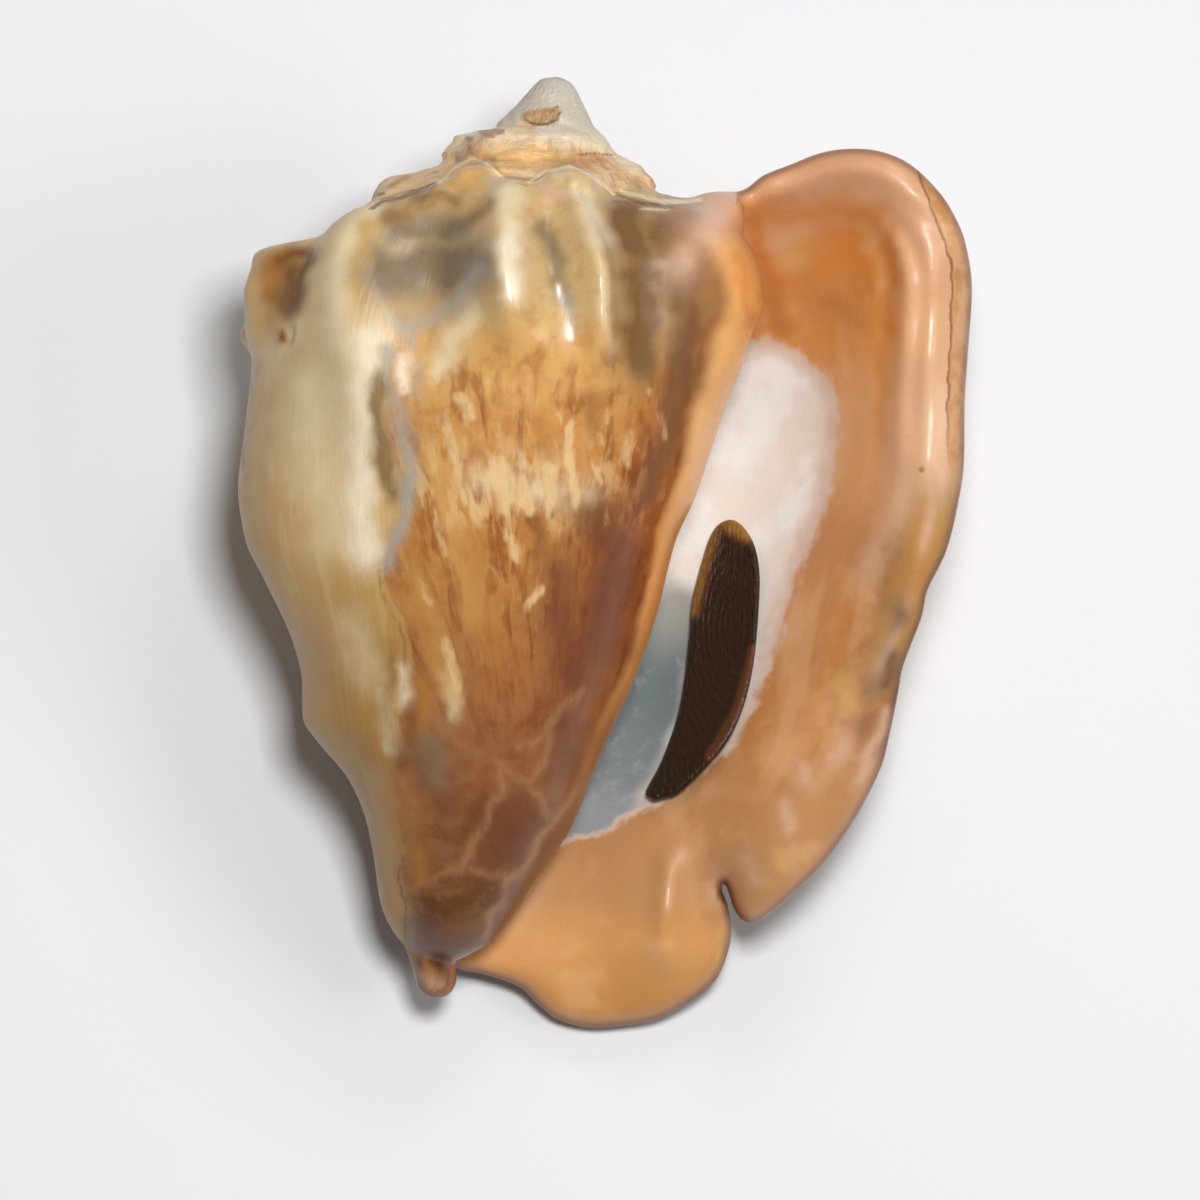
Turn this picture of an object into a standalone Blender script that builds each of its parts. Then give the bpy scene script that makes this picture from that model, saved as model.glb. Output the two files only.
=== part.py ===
"""Conch shell lying on its back, with its horny operculum in the aperture. Lengths in millimetres until the meshes are made."""

import math

import bmesh
import bpy
import numpy as np
import openvdb

for item in list(bpy.data.objects):
    bpy.data.objects.remove(item, do_unlink=True)

# ---------------------------------------------------------------- sizes and places
# The shell is described with x to the right, y towards the apex and z towards the aperture side.
APEX = (-6.2, 60.1)
FOOT = (-21.3, -54.9)
SHELL_GRID = 0.7
OPERCULUM_GRID = 0.45
SHELL_TRIANGLES = 8800
OPERCULUM_TRIANGLES = 900
SHELL_SPACE = ((-50.0, 50.0), (-64.0, 64.0), (-42.0, 36.0))
OPERCULUM_SPACE = ((3.0, 22.0), (-34.0, 7.0), (-26.0, 0.0))

# How the shell lies, in degrees: turned about x, then about y, until three points of its back touch the ground.
REST_PITCH = 9.63
REST_ROLL = -2.32

HALF_WALL = 1.9
RIM_SWELL = 0.9
OPERCULUM_HALF = 0.8
EVENING = 20.0
OPERCULUM_GAP = 0.45


# ---------------------------------------------------------------- curves and blends
def smooth_curve(pairs):
    """A curve through (x, y) pairs that never overshoots between them."""
    xs = np.array([pair[0] for pair in pairs], dtype=float)
    ys = np.array([pair[1] for pair in pairs], dtype=float)
    gap = np.diff(xs)
    rise = np.diff(ys) / gap
    slope = np.zeros_like(xs)
    slope[0] = rise[0]
    slope[-1] = rise[-1]
    for i in range(1, len(xs) - 1):
        if rise[i - 1] * rise[i] > 0:
            first = 2 * gap[i] + gap[i - 1]
            last = gap[i] + 2 * gap[i - 1]
            slope[i] = (first + last) / (first / rise[i - 1] + last / rise[i])

    def at(x):
        x = np.clip(x, xs[0], xs[-1])
        i = np.clip(np.searchsorted(xs, x, side="right") - 1, 0, len(xs) - 2)
        t = (x - xs[i]) / gap[i]
        start = (1 + 2 * t) * (1 - t) ** 2 * ys[i] + t * (1 - t) ** 2 * gap[i] * slope[i]
        end = t * t * (3 - 2 * t) * ys[i + 1] + t * t * (t - 1) * gap[i] * slope[i + 1]
        return start + end

    return at


def smooth_min(p, q, blend):
    share = np.clip(0.5 + 0.5 * (q - p) / blend, 0, 1)
    return q + (p - q) * share - blend * share * (1 - share)


def smooth_max(p, q, blend):
    return -smooth_min(-p, -q, blend)


def rounded_outline(points, steps=5):
    """A closed flowing outline through the points."""
    here = np.array(points, dtype=float)
    before = np.roll(here, 1, axis=0)
    after = np.roll(here, -1, axis=0)
    later = np.roll(here, -2, axis=0)
    rows = []
    for k in range(steps):
        t = k / steps
        square = 2 * before - 5 * here + 4 * after - later
        cube = 3 * here - before - 3 * after + later
        rows.append(0.5 * (2 * here + (after - before) * t + square * t**2 + cube * t**3))
    return np.stack(rows, axis=1).reshape(-1, 2)


def distance_to_outline(x, y, outline):
    """Distance to a closed outline, negative inside it."""
    best = np.full(x.shape, 1e9)
    inside = np.zeros(x.shape, dtype=bool)
    for (x0, y0), (x1, y1) in zip(outline, np.roll(outline, -1, axis=0)):
        run = x1 - x0
        rise = y1 - y0
        t = np.clip(((x - x0) * run + (y - y0) * rise) / (run * run + rise * rise + 1e-12), 0, 1)
        best = np.minimum(best, (x - x0 - t * run) ** 2 + (y - y0 - t * rise) ** 2)
        if rise != 0:
            inside ^= ((y0 > y) != (y1 > y)) & (x < run * (y - y0) / rise + x0)
    return np.where(inside, -np.sqrt(best), np.sqrt(best))


def bent_plate(points):
    """A smooth height over x and y through (x, y, height) points."""
    known = np.array(points, dtype=float)
    count = len(known)

    def pull(distance2):
        return 0.5 * distance2 * np.log(distance2 + 1e-9)

    apart = (known[:, None, 0] - known[None, :, 0]) ** 2 + (known[:, None, 1] - known[None, :, 1]) ** 2
    table = np.zeros((count + 3, count + 3))
    table[:count, :count] = pull(apart) + np.eye(count) * EVENING
    table[:count, count] = 1
    table[:count, count + 1 :] = known[:, :2]
    table[count:, :count] = table[:count, count:].T
    weights = np.linalg.solve(table, np.concatenate([known[:, 2], np.zeros(3)]))

    def at(x, y):
        height = weights[count] + weights[count + 1] * x + weights[count + 2] * y
        for (px, py, _), weight in zip(known, weights[:count]):
            height = height + weight * pull((x - px) ** 2 + (y - py) ** 2)
        return height

    return at


def rod(x, y, z, start, end, first, last):
    """Distance to a tapering rod with round ends."""
    run = [end[i] - start[i] for i in range(3)]
    length2 = run[0] ** 2 + run[1] ** 2 + run[2] ** 2
    t = np.clip(((x - start[0]) * run[0] + (y - start[1]) * run[1] + (z - start[2]) * run[2]) / length2, 0, 1)
    gap2 = (x - start[0] - t * run[0]) ** 2 + (y - start[1] - t * run[1]) ** 2 + (z - start[2] - t * run[2]) ** 2
    return np.sqrt(gap2) - (first + (last - first) * t)


# ---------------------------------------------------------------- the coiling axis
AXIS_LENGTH = math.hypot(FOOT[0] - APEX[0], FOOT[1] - APEX[1])
DOWN = ((FOOT[0] - APEX[0]) / AXIS_LENGTH, (FOOT[1] - APEX[1]) / AXIS_LENGTH)
OUT = (-DOWN[1], DOWN[0])


def along_axis(x, y):
    return (x - APEX[0]) * DOWN[0] + (y - APEX[1]) * DOWN[1]


def across_axis(x, y):
    return (x - APEX[0]) * OUT[0] + (y - APEX[1]) * OUT[1]


# ---------------------------------------------------------------- spire and body whorl
# Reach of the body whorl from the axis, against the distance down the axis.
left_reach = smooth_curve(
    [
        (10, 30), (27, 33.0), (33, 34.0), (43, 33.3), (55, 33.2), (63, 31.3), (67.5, 28.4), (75, 23.7),
        (79.4, 22.0), (84.4, 21.2), (87, 19.0), (91, 14.7), (96, 11.7), (101, 10.0), (106, 8.6),
        (109.5, 6.5), (111.8, 3.5), (113, 0.2),
    ]
)
right_reach = smooth_curve(
    [
        (10, 24), (16.3, 25.0), (18.5, 27.2), (21.5, 28.9), (25.5, 29.7), (29, 28.6), (33, 28.0), (37.4, 26.8),
        (45, 25.3), (50.4, 24.2), (56, 22.5), (65, 21.4), (73.4, 19.8), (79, 18.2), (85, 16.5), (94, 14.0),
        (97.2, 12.4), (104.6, 8.9), (109, 6.3), (111.5, 3.0), (113, 0.2),
    ]
)
front_reach = smooth_curve(
    [
        (10, 25), (25, 27.0), (33, 27.5), (43, 26.5), (55, 24.5), (67, 21.5), (78, 18.0), (90, 14.0),
        (100, 10.5), (106, 8.0), (110, 5.0), (113, 0.2),
    ]
)
back_reach = smooth_curve(
    [
        (10, 30), (31, 31.0), (40, 31.0), (50, 29.5), (60, 27.0), (70, 24.0), (80, 20.5), (90, 16.5),
        (100, 12.5), (108, 8.0), (113, 0.2),
    ]
)
# The lower end bends towards the back.
axis_height = smooth_curve([(0, 0), (60, 0), (80, -1.0), (100, -4.0), (113, -6.5)])

# The shoulder of the spiral, against turns of growth: how far down the axis and how far out it lies.
shoulder_down = smooth_curve(
    [
        (-1.5, 1.8), (-1, 3.4), (-0.5, 5.2), (0, 6.8), (0.25, 8.0), (0.5, 9.0), (0.75, 9.9), (1, 10.6),
        (1.25, 12.2), (1.5, 15.0), (1.75, 18.0), (2, 21.0), (2.25, 24.5), (2.5, 28.0), (2.75, 31.5), (3, 35.0),
    ]
)
shoulder_out = smooth_curve(
    [
        (-1.5, 2.6), (-1, 4.0), (-0.5, 5.8), (0, 7.6), (0.25, 9.4), (0.5, 10.8), (0.75, 12.0), (1, 12.6),
        (1.25, 14.6), (1.5, 17.6), (1.75, 21.5), (2, 25.0), (2.25, 27.0), (2.5, 33.0), (2.75, 31.5), (3, 30.0),
    ]
)
# The last whorl's own shoulder, carried up on the right by the callus.
body_shoulder = smooth_curve([(0, 16.5), (0.08, 17.5), (0.16, 21.0), (0.25, 24.5), (0.5, 28.0), (0.75, 31.5), (1, 35.0)])
body_ramp = smooth_curve(
    [
        (-1.0, 0.0), (-0.6, 0.1), (-0.5, 0.35), (-0.44, 0.57), (-0.36, 0.70), (-0.25, 0.82), (-0.1, 0.97),
        (0, 1.07), (0.1, 1.2), (1.0, 2.0),
    ]
)
ramp_haste = smooth_curve([(0, 2.0), (0.12, 1.6), (0.25, 1.0), (0.9, 1.0), (1, 1.0)])
# The ramp from the suture out to the shoulder, as shares of the shoulder's own place.
ramp_shape = smooth_curve(
    [
        (-1.0, 0.0), (-0.6, 0.15), (-0.42, 0.42), (-0.34, 0.60), (-0.25, 0.68), (-0.14, 0.76), (-0.07, 0.88),
        (0, 1.0), (0.1, 1.12), (1.0, 1.6),
    ]
)
cone_reach = smooth_curve(
    [(0, 0), (0.3, 1.5), (1.2, 2.5), (2.5, 3.4), (4.5, 4.7), (7, 5.9), (9, 6.0), (20, 6.0), (60, 0)]
)
KNOBS_A_TURN = 8
KNOB_SHARE = 0.11

# Lumps of the body whorl: place down the axis, angle from the right over the front, height, half length
# down the axis and half width in degrees. A height below nought is a hollow.
BODY_LUMPS = [
    (23.0, 141, 2.2, 7.0, 11),
    (26.0, 120, -2.0, 6.0, 9),
    (23.0, 98, 2.8, 8.0, 7),
    (22.0, 85, -1.0, 6.0, 5),
    (20.0, 72, 2.4, 8.0, 7),
    (21.0, 54, -1.6, 6.0, 7),
    (21.5, 172, -4.2, 5.0, 22),
    (29.5, 190, 2.4, 3.5, 10),
    (30.0, 218, 3.6, 4.5, 8),
    (31.0, 248, 5.6, 5.0, 8),
    (32.5, 283, 4.4, 5.5, 8),
    (35.0, 312, 3.0, 5.5, 7),
]


def angle_gap(angle, centre):
    return (angle - centre + 180.0) % 360.0 - 180.0


def body_radius(down_axis, angle):
    """Distance from the axis to the outer face of the spire and the body whorl."""
    cos = np.cos(np.radians(angle))
    sin = np.sin(np.radians(angle))
    side = np.where(cos > 0, right_reach(down_axis), left_reach(down_axis))
    depth = np.where(sin > 0, front_reach(down_axis), back_reach(down_axis))
    barrel = 1.0 / np.sqrt((cos / side) ** 2 + (sin / depth) ** 2)
    turn = angle / 360.0
    shoulder = body_shoulder(turn)
    share = (down_axis - shoulder) / shoulder * ramp_haste(turn)
    radius = smooth_min(barrel, shoulder_out(turn + 2) * body_ramp(share), 4.0)
    for whorl in (-1, 0, 1):
        growth = turn + whorl
        shoulder = shoulder_down(growth)
        knobs = KNOB_SHARE * np.cos(2 * np.pi * (growth - 0.03) * KNOBS_A_TURN)
        wide = shoulder_out(growth) * (1 + knobs * np.clip((growth + 0.1) * 2, 0, 1))
        ramp = wide * (ramp_shape((down_axis - shoulder) / shoulder) + 0.05)
        wall = wide - (down_axis - shoulder) * 0.35
        radius = smooth_max(radius, smooth_min(ramp, wall, 1.0), 0.5)
    radius = smooth_max(np.where(down_axis > 1.0, radius, 0), cone_reach(down_axis), 0.6)
    for place, centre, height, length, width in BODY_LUMPS:
        lump = np.exp(-(((down_axis - place) / length) ** 2) - (angle_gap(angle, centre) / width) ** 2)
        radius = radius + height * lump
    return radius


# ---------------------------------------------------------------- outer wall, lip and canal
# Margin of the outer wall: up the callus, round the lip, into the notch, round the canal and back under the body.
LIP_OUTLINE = [
    (5, 38), (9, 43), (11.7, 44.6), (17.0, 45.5), (19.8, 47.5), (23.3, 48.9), (27.0, 50.3), (30.7, 50.8),
    (34.6, 50.4), (38.2, 48.8), (41.7, 45.5), (43.8, 42.3), (45.2, 38.8), (46.0, 33.5), (45.6, 26.5),
    (45.1, 19.4), (45.0, 11.8), (44.4, 7.1), (42.8, 0.5), (40.4, -4.5), (39.6, -8.1), (37.4, -13.9),
    (36.7, -17.6), (35.5, -23.4), (34.4, -27.3), (31.2, -33.5), (27.0, -39.3), (22.4, -43.8), (19.5, -46.2),
    (17.7, -46.4), (16.4, -45.0), (15.6, -42.6), (15.0, -41.4), (14.5, -42.2), (15.2, -44.2), (15.8, -47.1),
    (15.5, -49.8), (14.2, -53.4), (11.5, -56.1), (6.9, -58.8), (2.5, -59.7), (-2.0, -60.0), (-6.0, -59.0),
    (-8.3, -57.3), (-11.0, -54.8), (-15.5, -53.2), (-19.5, -52.0), (-22, -47), (-22, -35), (-20, -15),
    (-17, 10), (-12, 30), (-3, 36),
]
# Inner face of the outer wall, as (x, y, height) points in rows from the apex end to the canal.
INNER_FACE = [
    (19, 46.5, 3), (25, 49, 4), (31, 49, 6), (37, 47, 7), (41, 43, 7), (43.5, 38, 7),
    (8, 37, -4), (0, 36, -14), (12, 41, 0), (15, 43, 2),
    (21, 40, -7), (25, 42, -3), (30, 43, 1), (34, 41, 3), (36, 44, 6.5), (38, 40, 7),
    (20, 33, -12), (25, 34, -8), (30, 34, -3.5), (35.2, 34, 3), (37.8, 34, 6.7), (41.3, 34, 7.7), (45.0, 33, 4),
    (-14, 25, -17), (-5, 25, -26.8), (2, 25, -25.8), (8, 25, -23.5), (14, 25, -19.5), (20, 25, -15.5), (25, 26, -12), (30, 25, -5.5), (35, 25, 2),
    (38, 25, 6), (41.5, 25, 7.5), (45, 25, 4),
    (-14, 12, -17), (-6, 12, -25.2), (0, 12, -24.8), (8, 12, -23), (14, 12, -20.5), (20, 12, -16.5), (25, 12, -12), (29, 12, -7),
    (34, 12, 0), (38, 12, 5.5), (41.5, 12, 7.5), (44.5, 12, 4.5),
    (-16, 0, -15), (-8, 0, -23.4), (0, 0, -23), (8, 0, -21.5), (15, 0, -18.5), (20, 0, -15), (25.8, 0, -8.5), (31, 0, -1.5),
    (36, 0, 4.5), (39.5, 0, 7), (42.0, 0, 5),
    (-18, -15, -12), (-11, -15, -19.8), (-4, -15, -20), (4, -15, -19), (12, -15, -16), (17, -15, -11.5), (21, -15, -7),
    (27, -15, 0), (32, -15, 4.5), (35, -15, 5), (37, -16, 3),
    (-20, -27, -9), (-13, -27, -16), (-8, -27, -17), (-1, -27, -16.8), (6, -27, -13.5), (12, -27, -8), (18, -27, -2.5),
    (25, -27, 2), (30, -27, 3.5), (34, -27, 1.5),
    (-21, -38, -8), (-15, -38, -13.5), (-5, -36, -15), (0, -36, -12), (5, -36, -9), (8.5, -38, -6.8),
    (12, -38, -6.2), (16, -37, -3), (22, -36, 0.5), (28, -36, 0.5), (20, -43, -2), (17.5, -46, -3.5),
    (-11, -45, -13), (-5, -45, -11.5), (0, -45, -10), (5, -45, -7.5), (7.8, -45, -6.3), (11, -44, -8), (12, -41, -8),
    (14.5, -47, -10.5),
    (-16, -51, -13.5), (-8, -53, -12.5), (0, -53, -12), (6.8, -52, -8.5), (12, -54, -13),
    (-4, -59, -14.5), (4, -59, -14.5),
]
inner_plate = bent_plate(INNER_FACE)

# Folds that run along inside the outer lip: distance in from the margin, height and half width.
LIP_FOLDS = [(10.6, -1.0, 1.5), (8.2, 0.7, 1.3), (6.4, -0.4, 1.0), (4.6, 0.6, 1.6)]


def inner_face(x, y):
    """Height of the inner face of the outer wall."""
    inward = -distance_to_outline(x, y, rounded_outline(LIP_OUTLINE))
    share = np.clip((x - 30.0) / 5.0, 0, 1) * np.clip((y + 6.0) / 20.0, 0, 1)
    folds = 0
    for place, height, width in LIP_FOLDS:
        folds = folds + height * np.exp(-(((inward - place) / width) ** 2))
    return inner_plate(x, y) + folds * share

# The hollow behind the inner wall: how thick that wall is and how far the hollow reaches to the left.
column_back = smooth_curve([(0, 4), (20, 6), (30, 9), (50, 11), (70, 9), (90, 6.0), (100, 4.5), (113, 3)])
hollow_left = smooth_curve(
    [(0, 40), (16, 34), (20, 24), (26, 12), (36, -4), (50, -15), (65, -15), (80, -11), (95, -5), (105, -1), (113, 0)]
)

OPERCULUM_OUTLINE = [
    (15.5, 4.4), (18.9, 0.9), (19.4, -3.4), (19.2, -9.2), (18.1, -15.4), (16.3, -20.8), (13.9, -24.6),
    (11.2, -27.7), (8.4, -30.4), (6.0, -31.0), (5.0, -30.4), (6.2, -27.7), (7.7, -24.6), (9.3, -20.0),
    (10.2, -15.4), (10.8, -9.2), (11.2, -5.3), (12.6, -1.1), (13.4, 1.6), (14.1, 3.5),
]


def shell_distance(x, y, z):
    """Signed distance field of the shell over a block: x and y are flat grids, z a column of heights."""
    down_axis = along_axis(x, y)[:, :, None]
    height = z[None, None, :] - axis_height(down_axis)
    sideways = across_axis(x, y)[:, :, None] + 0 * height
    down_axis = down_axis + 0 * height
    angle = np.degrees(np.arctan2(height, sideways)) % 360.0
    radius = np.hypot(height, sideways)
    to_body = radius - body_radius(down_axis, angle)
    body = np.maximum(to_body, np.maximum(-down_axis, down_axis - 112.6)) * 0.8

    edge = distance_to_outline(x, y, rounded_outline(LIP_OUTLINE))
    floor = inner_face(x, y)
    slope_x = (inner_face(x + 0.5, y) - inner_face(x - 0.5, y))
    slope_y = (inner_face(x, y + 0.5) - inner_face(x, y - 0.5))
    upright = 1.0 / np.sqrt(1 + slope_x**2 + slope_y**2)
    swell = RIM_SWELL * np.clip((across_axis(x, y) - 2.0) / 8.0, 0, 1)
    half = HALF_WALL + swell * np.exp(-(((edge + 2.0) / 4.0) ** 2))
    half = half + 1.3 * np.exp(-((x - 21.0) ** 2 + (y - 27.0) ** 2) / 5.0**2)
    above = (z[None, None, :] - floor[:, :, None]) * upright[:, :, None]
    past = np.maximum(edge + half * 0.95, 0)[:, :, None]
    wall = np.hypot(past, above + half[:, :, None]) - half[:, :, None]
    solid = smooth_min(body, wall, 4.0)

    flat_x = x[:, :, None] + 0 * height
    flat_y = y[:, :, None] + 0 * height
    flat_z = z[None, None, :] + 0 * height
    callus = rod(flat_x, flat_y, flat_z, (8.5, 36.5, 14.0), (15.0, 43.3, 3.5), 3.5, 2.5)
    ledge = rod(flat_x, flat_y, flat_z, (4.5, 41.5, 7.0), (14.0, 43.0, 3.0), 2.2, 2.2)
    solid = smooth_min(solid, smooth_min(callus, ledge, 2.0), 4.0)

    thick = column_back(down_axis)
    right = right_reach(down_axis)
    cos = np.cos(np.radians(angle))
    sin = np.sin(np.radians(angle))
    column = radius - 1.0 / np.sqrt((cos / right) ** 2 + (sin / thick) ** 2)
    clear = np.where(height > 0, to_body, column)
    clear = np.where((sideways < 0) & (height <= 0), -height - thick + sideways * 0.25, clear)
    hollow = smooth_max(-above, -clear, 1.5)
    hollow = smooth_max(hollow, hollow_left(down_axis) - sideways, 3.0)
    solid = np.maximum(solid, -hollow)

    stub = rod(flat_x, flat_y, flat_z, (-21.0, -47.0, -7.5), (-21.5, -53.4, -8.5), 3.2, 2.6)
    return smooth_min(solid, stub, 1.0)


def operculum_distance(x, y, z):
    """Signed distance field of the operculum, a thin plate following the inner face."""
    edge = distance_to_outline(x, y, rounded_outline(OPERCULUM_OUTLINE))
    slope_x = (inner_face(x + 0.5, y) - inner_face(x - 0.5, y))
    slope_y = (inner_face(x, y + 0.5) - inner_face(x, y - 0.5))
    upright = 1.0 / np.sqrt(1 + slope_x**2 + slope_y**2)
    above = (z[None, None, :] - inner_face(x, y)[:, :, None]) * upright[:, :, None]
    past = np.maximum(edge + OPERCULUM_HALF, 0)[:, :, None]
    return np.hypot(past, above - OPERCULUM_GAP - OPERCULUM_HALF) - OPERCULUM_HALF


# ---------------------------------------------------------------- meshes
def surface_of(distance, box, grid):
    """Points and faces of the zero surface of a distance field over the box."""
    xs = np.arange(box[0][0], box[0][1], grid)
    ys = np.arange(box[1][0], box[1][1], grid)
    zs = np.arange(box[2][0], box[2][1], grid)
    field = np.empty((len(xs), len(ys), len(zs)), dtype=np.float32)
    for first in range(0, len(ys), 16):
        flat_x, flat_y = np.meshgrid(xs, ys[first : first + 16], indexing="ij")
        field[:, first : first + 16] = distance(flat_x, flat_y, zs)
    volume = openvdb.FloatGrid(3.0)
    volume.copyFromArray(np.clip(field, -3.0, 3.0))
    points, triangles, quads = volume.convertToPolygons(isovalue=0.0, adaptivity=0.0)
    points = points * grid + np.array([xs[0], ys[0], zs[0]])
    faces = [tuple(reversed(face)) for face in quads.tolist()]
    faces += [tuple(reversed(face)) for face in triangles.tolist()]
    return points, faces


def keep_largest_piece(form):
    """Removes every loose scrap of mesh but the largest."""
    unseen = set(form.verts)
    pieces = []
    while unseen:
        stack = [unseen.pop()]
        piece = set(stack)
        while stack:
            for edge in stack.pop().link_edges:
                for vertex in edge.verts:
                    if vertex not in piece:
                        piece.add(vertex)
                        unseen.discard(vertex)
                        stack.append(vertex)
        pieces.append(piece)
    pieces.sort(key=len)
    for piece in pieces[:-1]:
        bmesh.ops.delete(form, geom=list(piece), context="VERTS")


def slot_material(name, colour, roughness):
    made = bpy.data.materials.new(name)
    made.use_nodes = True
    shader = made.node_tree.nodes["Principled BSDF"]
    shader.inputs["Base Color"].default_value = (*colour, 1.0)
    shader.inputs["Roughness"].default_value = roughness
    return made


def solid_object(name, surface, triangles, material, folder, place):
    """A closed body made of a surface, brought down to a number of triangles and held by its resting place."""
    points, faces = surface
    mesh = bpy.data.meshes.new(name)
    mesh.from_pydata((points / 1000.0).tolist(), [], faces)
    form = bmesh.new()
    form.from_mesh(mesh)
    keep_largest_piece(form)
    bmesh.ops.triangulate(form, faces=form.faces)
    bmesh.ops.recalc_face_normals(form, faces=form.faces)
    count = len(form.faces)
    form.to_mesh(mesh)
    form.free()
    mesh.shade_smooth()
    mesh.materials.append(material)
    made = bpy.data.objects.new(name, mesh)
    made.parent = place
    folder.objects.link(made)
    fewer = made.modifiers.new("fewer_faces", "DECIMATE")
    fewer.ratio = triangles / count
    return made


def world_corners(item):
    """Every point of an object in world space, with its modifiers."""
    bpy.context.view_layer.update()
    seen = item.evaluated_get(bpy.context.evaluated_depsgraph_get())
    return np.array([seen.matrix_world @ vertex.co for vertex in seen.data.vertices])


folder = bpy.data.collections.new("conch_shell")
bpy.context.scene.collection.children.link(folder)
place = bpy.data.objects.new("resting_place", None)
place.rotation_euler = (math.radians(REST_PITCH), math.radians(REST_ROLL), 0.0)
folder.objects.link(place)

shell_surface = surface_of(shell_distance, SHELL_SPACE, SHELL_GRID)
shell_material = slot_material("shell_lime", (0.72, 0.50, 0.30), 0.25)
shell = solid_object("shell", shell_surface, SHELL_TRIANGLES, shell_material, folder, place)

operculum_surface = surface_of(operculum_distance, OPERCULUM_SPACE, OPERCULUM_GRID)
horn_material = slot_material("horn", (0.05, 0.02, 0.012), 0.35)
operculum = solid_object("operculum", operculum_surface, OPERCULUM_TRIANGLES, horn_material, folder, place)

# The origin is the middle of the ground under the shell.
corners = world_corners(shell)
low = corners.min(axis=0)
high = corners.max(axis=0)
place.location = (-(low[0] + high[0]) / 2, -(low[1] + high[1]) / 2, -low[2])
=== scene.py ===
"""Looks of the conch shell on its back: fine meshes, procedural materials, light and camera.

The forms are worked out in millimetres, x to the right, y towards the apex and z towards the aperture side,
as in the part's own source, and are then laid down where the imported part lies."""

import math

import bmesh
import bpy
import numpy as np
import openvdb
from mathutils import Euler, Matrix, Vector


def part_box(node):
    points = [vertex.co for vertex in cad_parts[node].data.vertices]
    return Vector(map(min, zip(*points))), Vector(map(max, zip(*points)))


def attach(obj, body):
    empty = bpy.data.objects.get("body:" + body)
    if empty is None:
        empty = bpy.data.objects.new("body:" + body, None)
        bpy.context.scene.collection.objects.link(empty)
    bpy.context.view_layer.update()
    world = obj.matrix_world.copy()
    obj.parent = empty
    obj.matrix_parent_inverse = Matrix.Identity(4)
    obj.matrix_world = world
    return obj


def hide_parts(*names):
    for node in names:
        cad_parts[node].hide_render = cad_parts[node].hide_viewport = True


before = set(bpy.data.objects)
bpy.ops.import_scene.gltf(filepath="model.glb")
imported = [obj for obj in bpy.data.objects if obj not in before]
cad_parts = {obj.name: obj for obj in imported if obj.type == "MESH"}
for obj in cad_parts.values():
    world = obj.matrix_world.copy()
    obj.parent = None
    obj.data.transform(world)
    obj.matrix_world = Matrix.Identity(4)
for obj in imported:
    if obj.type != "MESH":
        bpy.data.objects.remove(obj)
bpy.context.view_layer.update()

# ---------------------------------------------------------------- sizes and places
APEX = (-6.2, 60.1)
FOOT = (-21.3, -54.9)
SHELL_GRID = 0.45
OPERCULUM_GRID = 0.3
SHELL_TRIANGLES = 190000
SHELL_SPACE = ((-50.0, 50.0), (-64.0, 64.0), (-42.0, 36.0))
OPERCULUM_SPACE = ((3.0, 22.0), (-34.0, 7.0), (-26.0, 0.0))
REST_PITCH = 9.63
REST_ROLL = -2.32

HALF_WALL = 1.9
RIM_SWELL = 0.9
OPERCULUM_HALF = 0.8
OPERCULUM_GAP = 0.45
EVENING = 20.0


# ---------------------------------------------------------------- curves and blends
def smooth_curve(pairs):
    """A curve through (x, y) pairs that never overshoots between them."""
    xs = np.array([pair[0] for pair in pairs], dtype=float)
    ys = np.array([pair[1] for pair in pairs], dtype=float)
    gap = np.diff(xs)
    rise = np.diff(ys) / gap
    slope = np.zeros_like(xs)
    slope[0] = rise[0]
    slope[-1] = rise[-1]
    for i in range(1, len(xs) - 1):
        if rise[i - 1] * rise[i] > 0:
            first = 2 * gap[i] + gap[i - 1]
            last = gap[i] + 2 * gap[i - 1]
            slope[i] = (first + last) / (first / rise[i - 1] + last / rise[i])
    fine = np.linspace(xs[0], xs[-1], 3000)
    i = np.clip(np.searchsorted(xs, fine, side="right") - 1, 0, len(xs) - 2)
    t = (fine - xs[i]) / gap[i]
    start = (1 + 2 * t) * (1 - t) ** 2 * ys[i] + t * (1 - t) ** 2 * gap[i] * slope[i]
    end = t * t * (3 - 2 * t) * ys[i + 1] + t * t * (t - 1) * gap[i] * slope[i + 1]
    heights = start + end
    return lambda x: np.interp(x, fine, heights)


def smooth_min(p, q, blend):
    near = np.clip(1 - np.abs(p - q) / (1.5 * blend), 0, 1)
    return np.minimum(p, q) - near**3 * blend / 4


def smooth_max(p, q, blend):
    return -smooth_min(-p, -q, blend)


def rounded_outline(points, steps=5):
    """A closed flowing outline through the points."""
    here = np.array(points, dtype=float)
    before = np.roll(here, 1, axis=0)
    after = np.roll(here, -1, axis=0)
    later = np.roll(here, -2, axis=0)
    rows = []
    for k in range(steps):
        t = k / steps
        square = 2 * before - 5 * here + 4 * after - later
        cube = 3 * here - before - 3 * after + later
        rows.append(0.5 * (2 * here + (after - before) * t + square * t**2 + cube * t**3))
    return np.stack(rows, axis=1).reshape(-1, 2)


def distance_to_outline(x, y, outline):
    """Distance to a closed outline, negative inside it."""
    best = np.full(np.broadcast(x, y).shape, 1e9)
    inside = np.zeros(best.shape, dtype=bool)
    for (x0, y0), (x1, y1) in zip(outline, np.roll(outline, -1, axis=0)):
        run = x1 - x0
        rise = y1 - y0
        t = np.clip(((x - x0) * run + (y - y0) * rise) / (run * run + rise * rise + 1e-12), 0, 1)
        best = np.minimum(best, (x - x0 - t * run) ** 2 + (y - y0 - t * rise) ** 2)
        if rise != 0:
            inside ^= ((y0 > y) != (y1 > y)) & (x < run * (y - y0) / rise + x0)
    return np.where(inside, -np.sqrt(best), np.sqrt(best))


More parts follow.
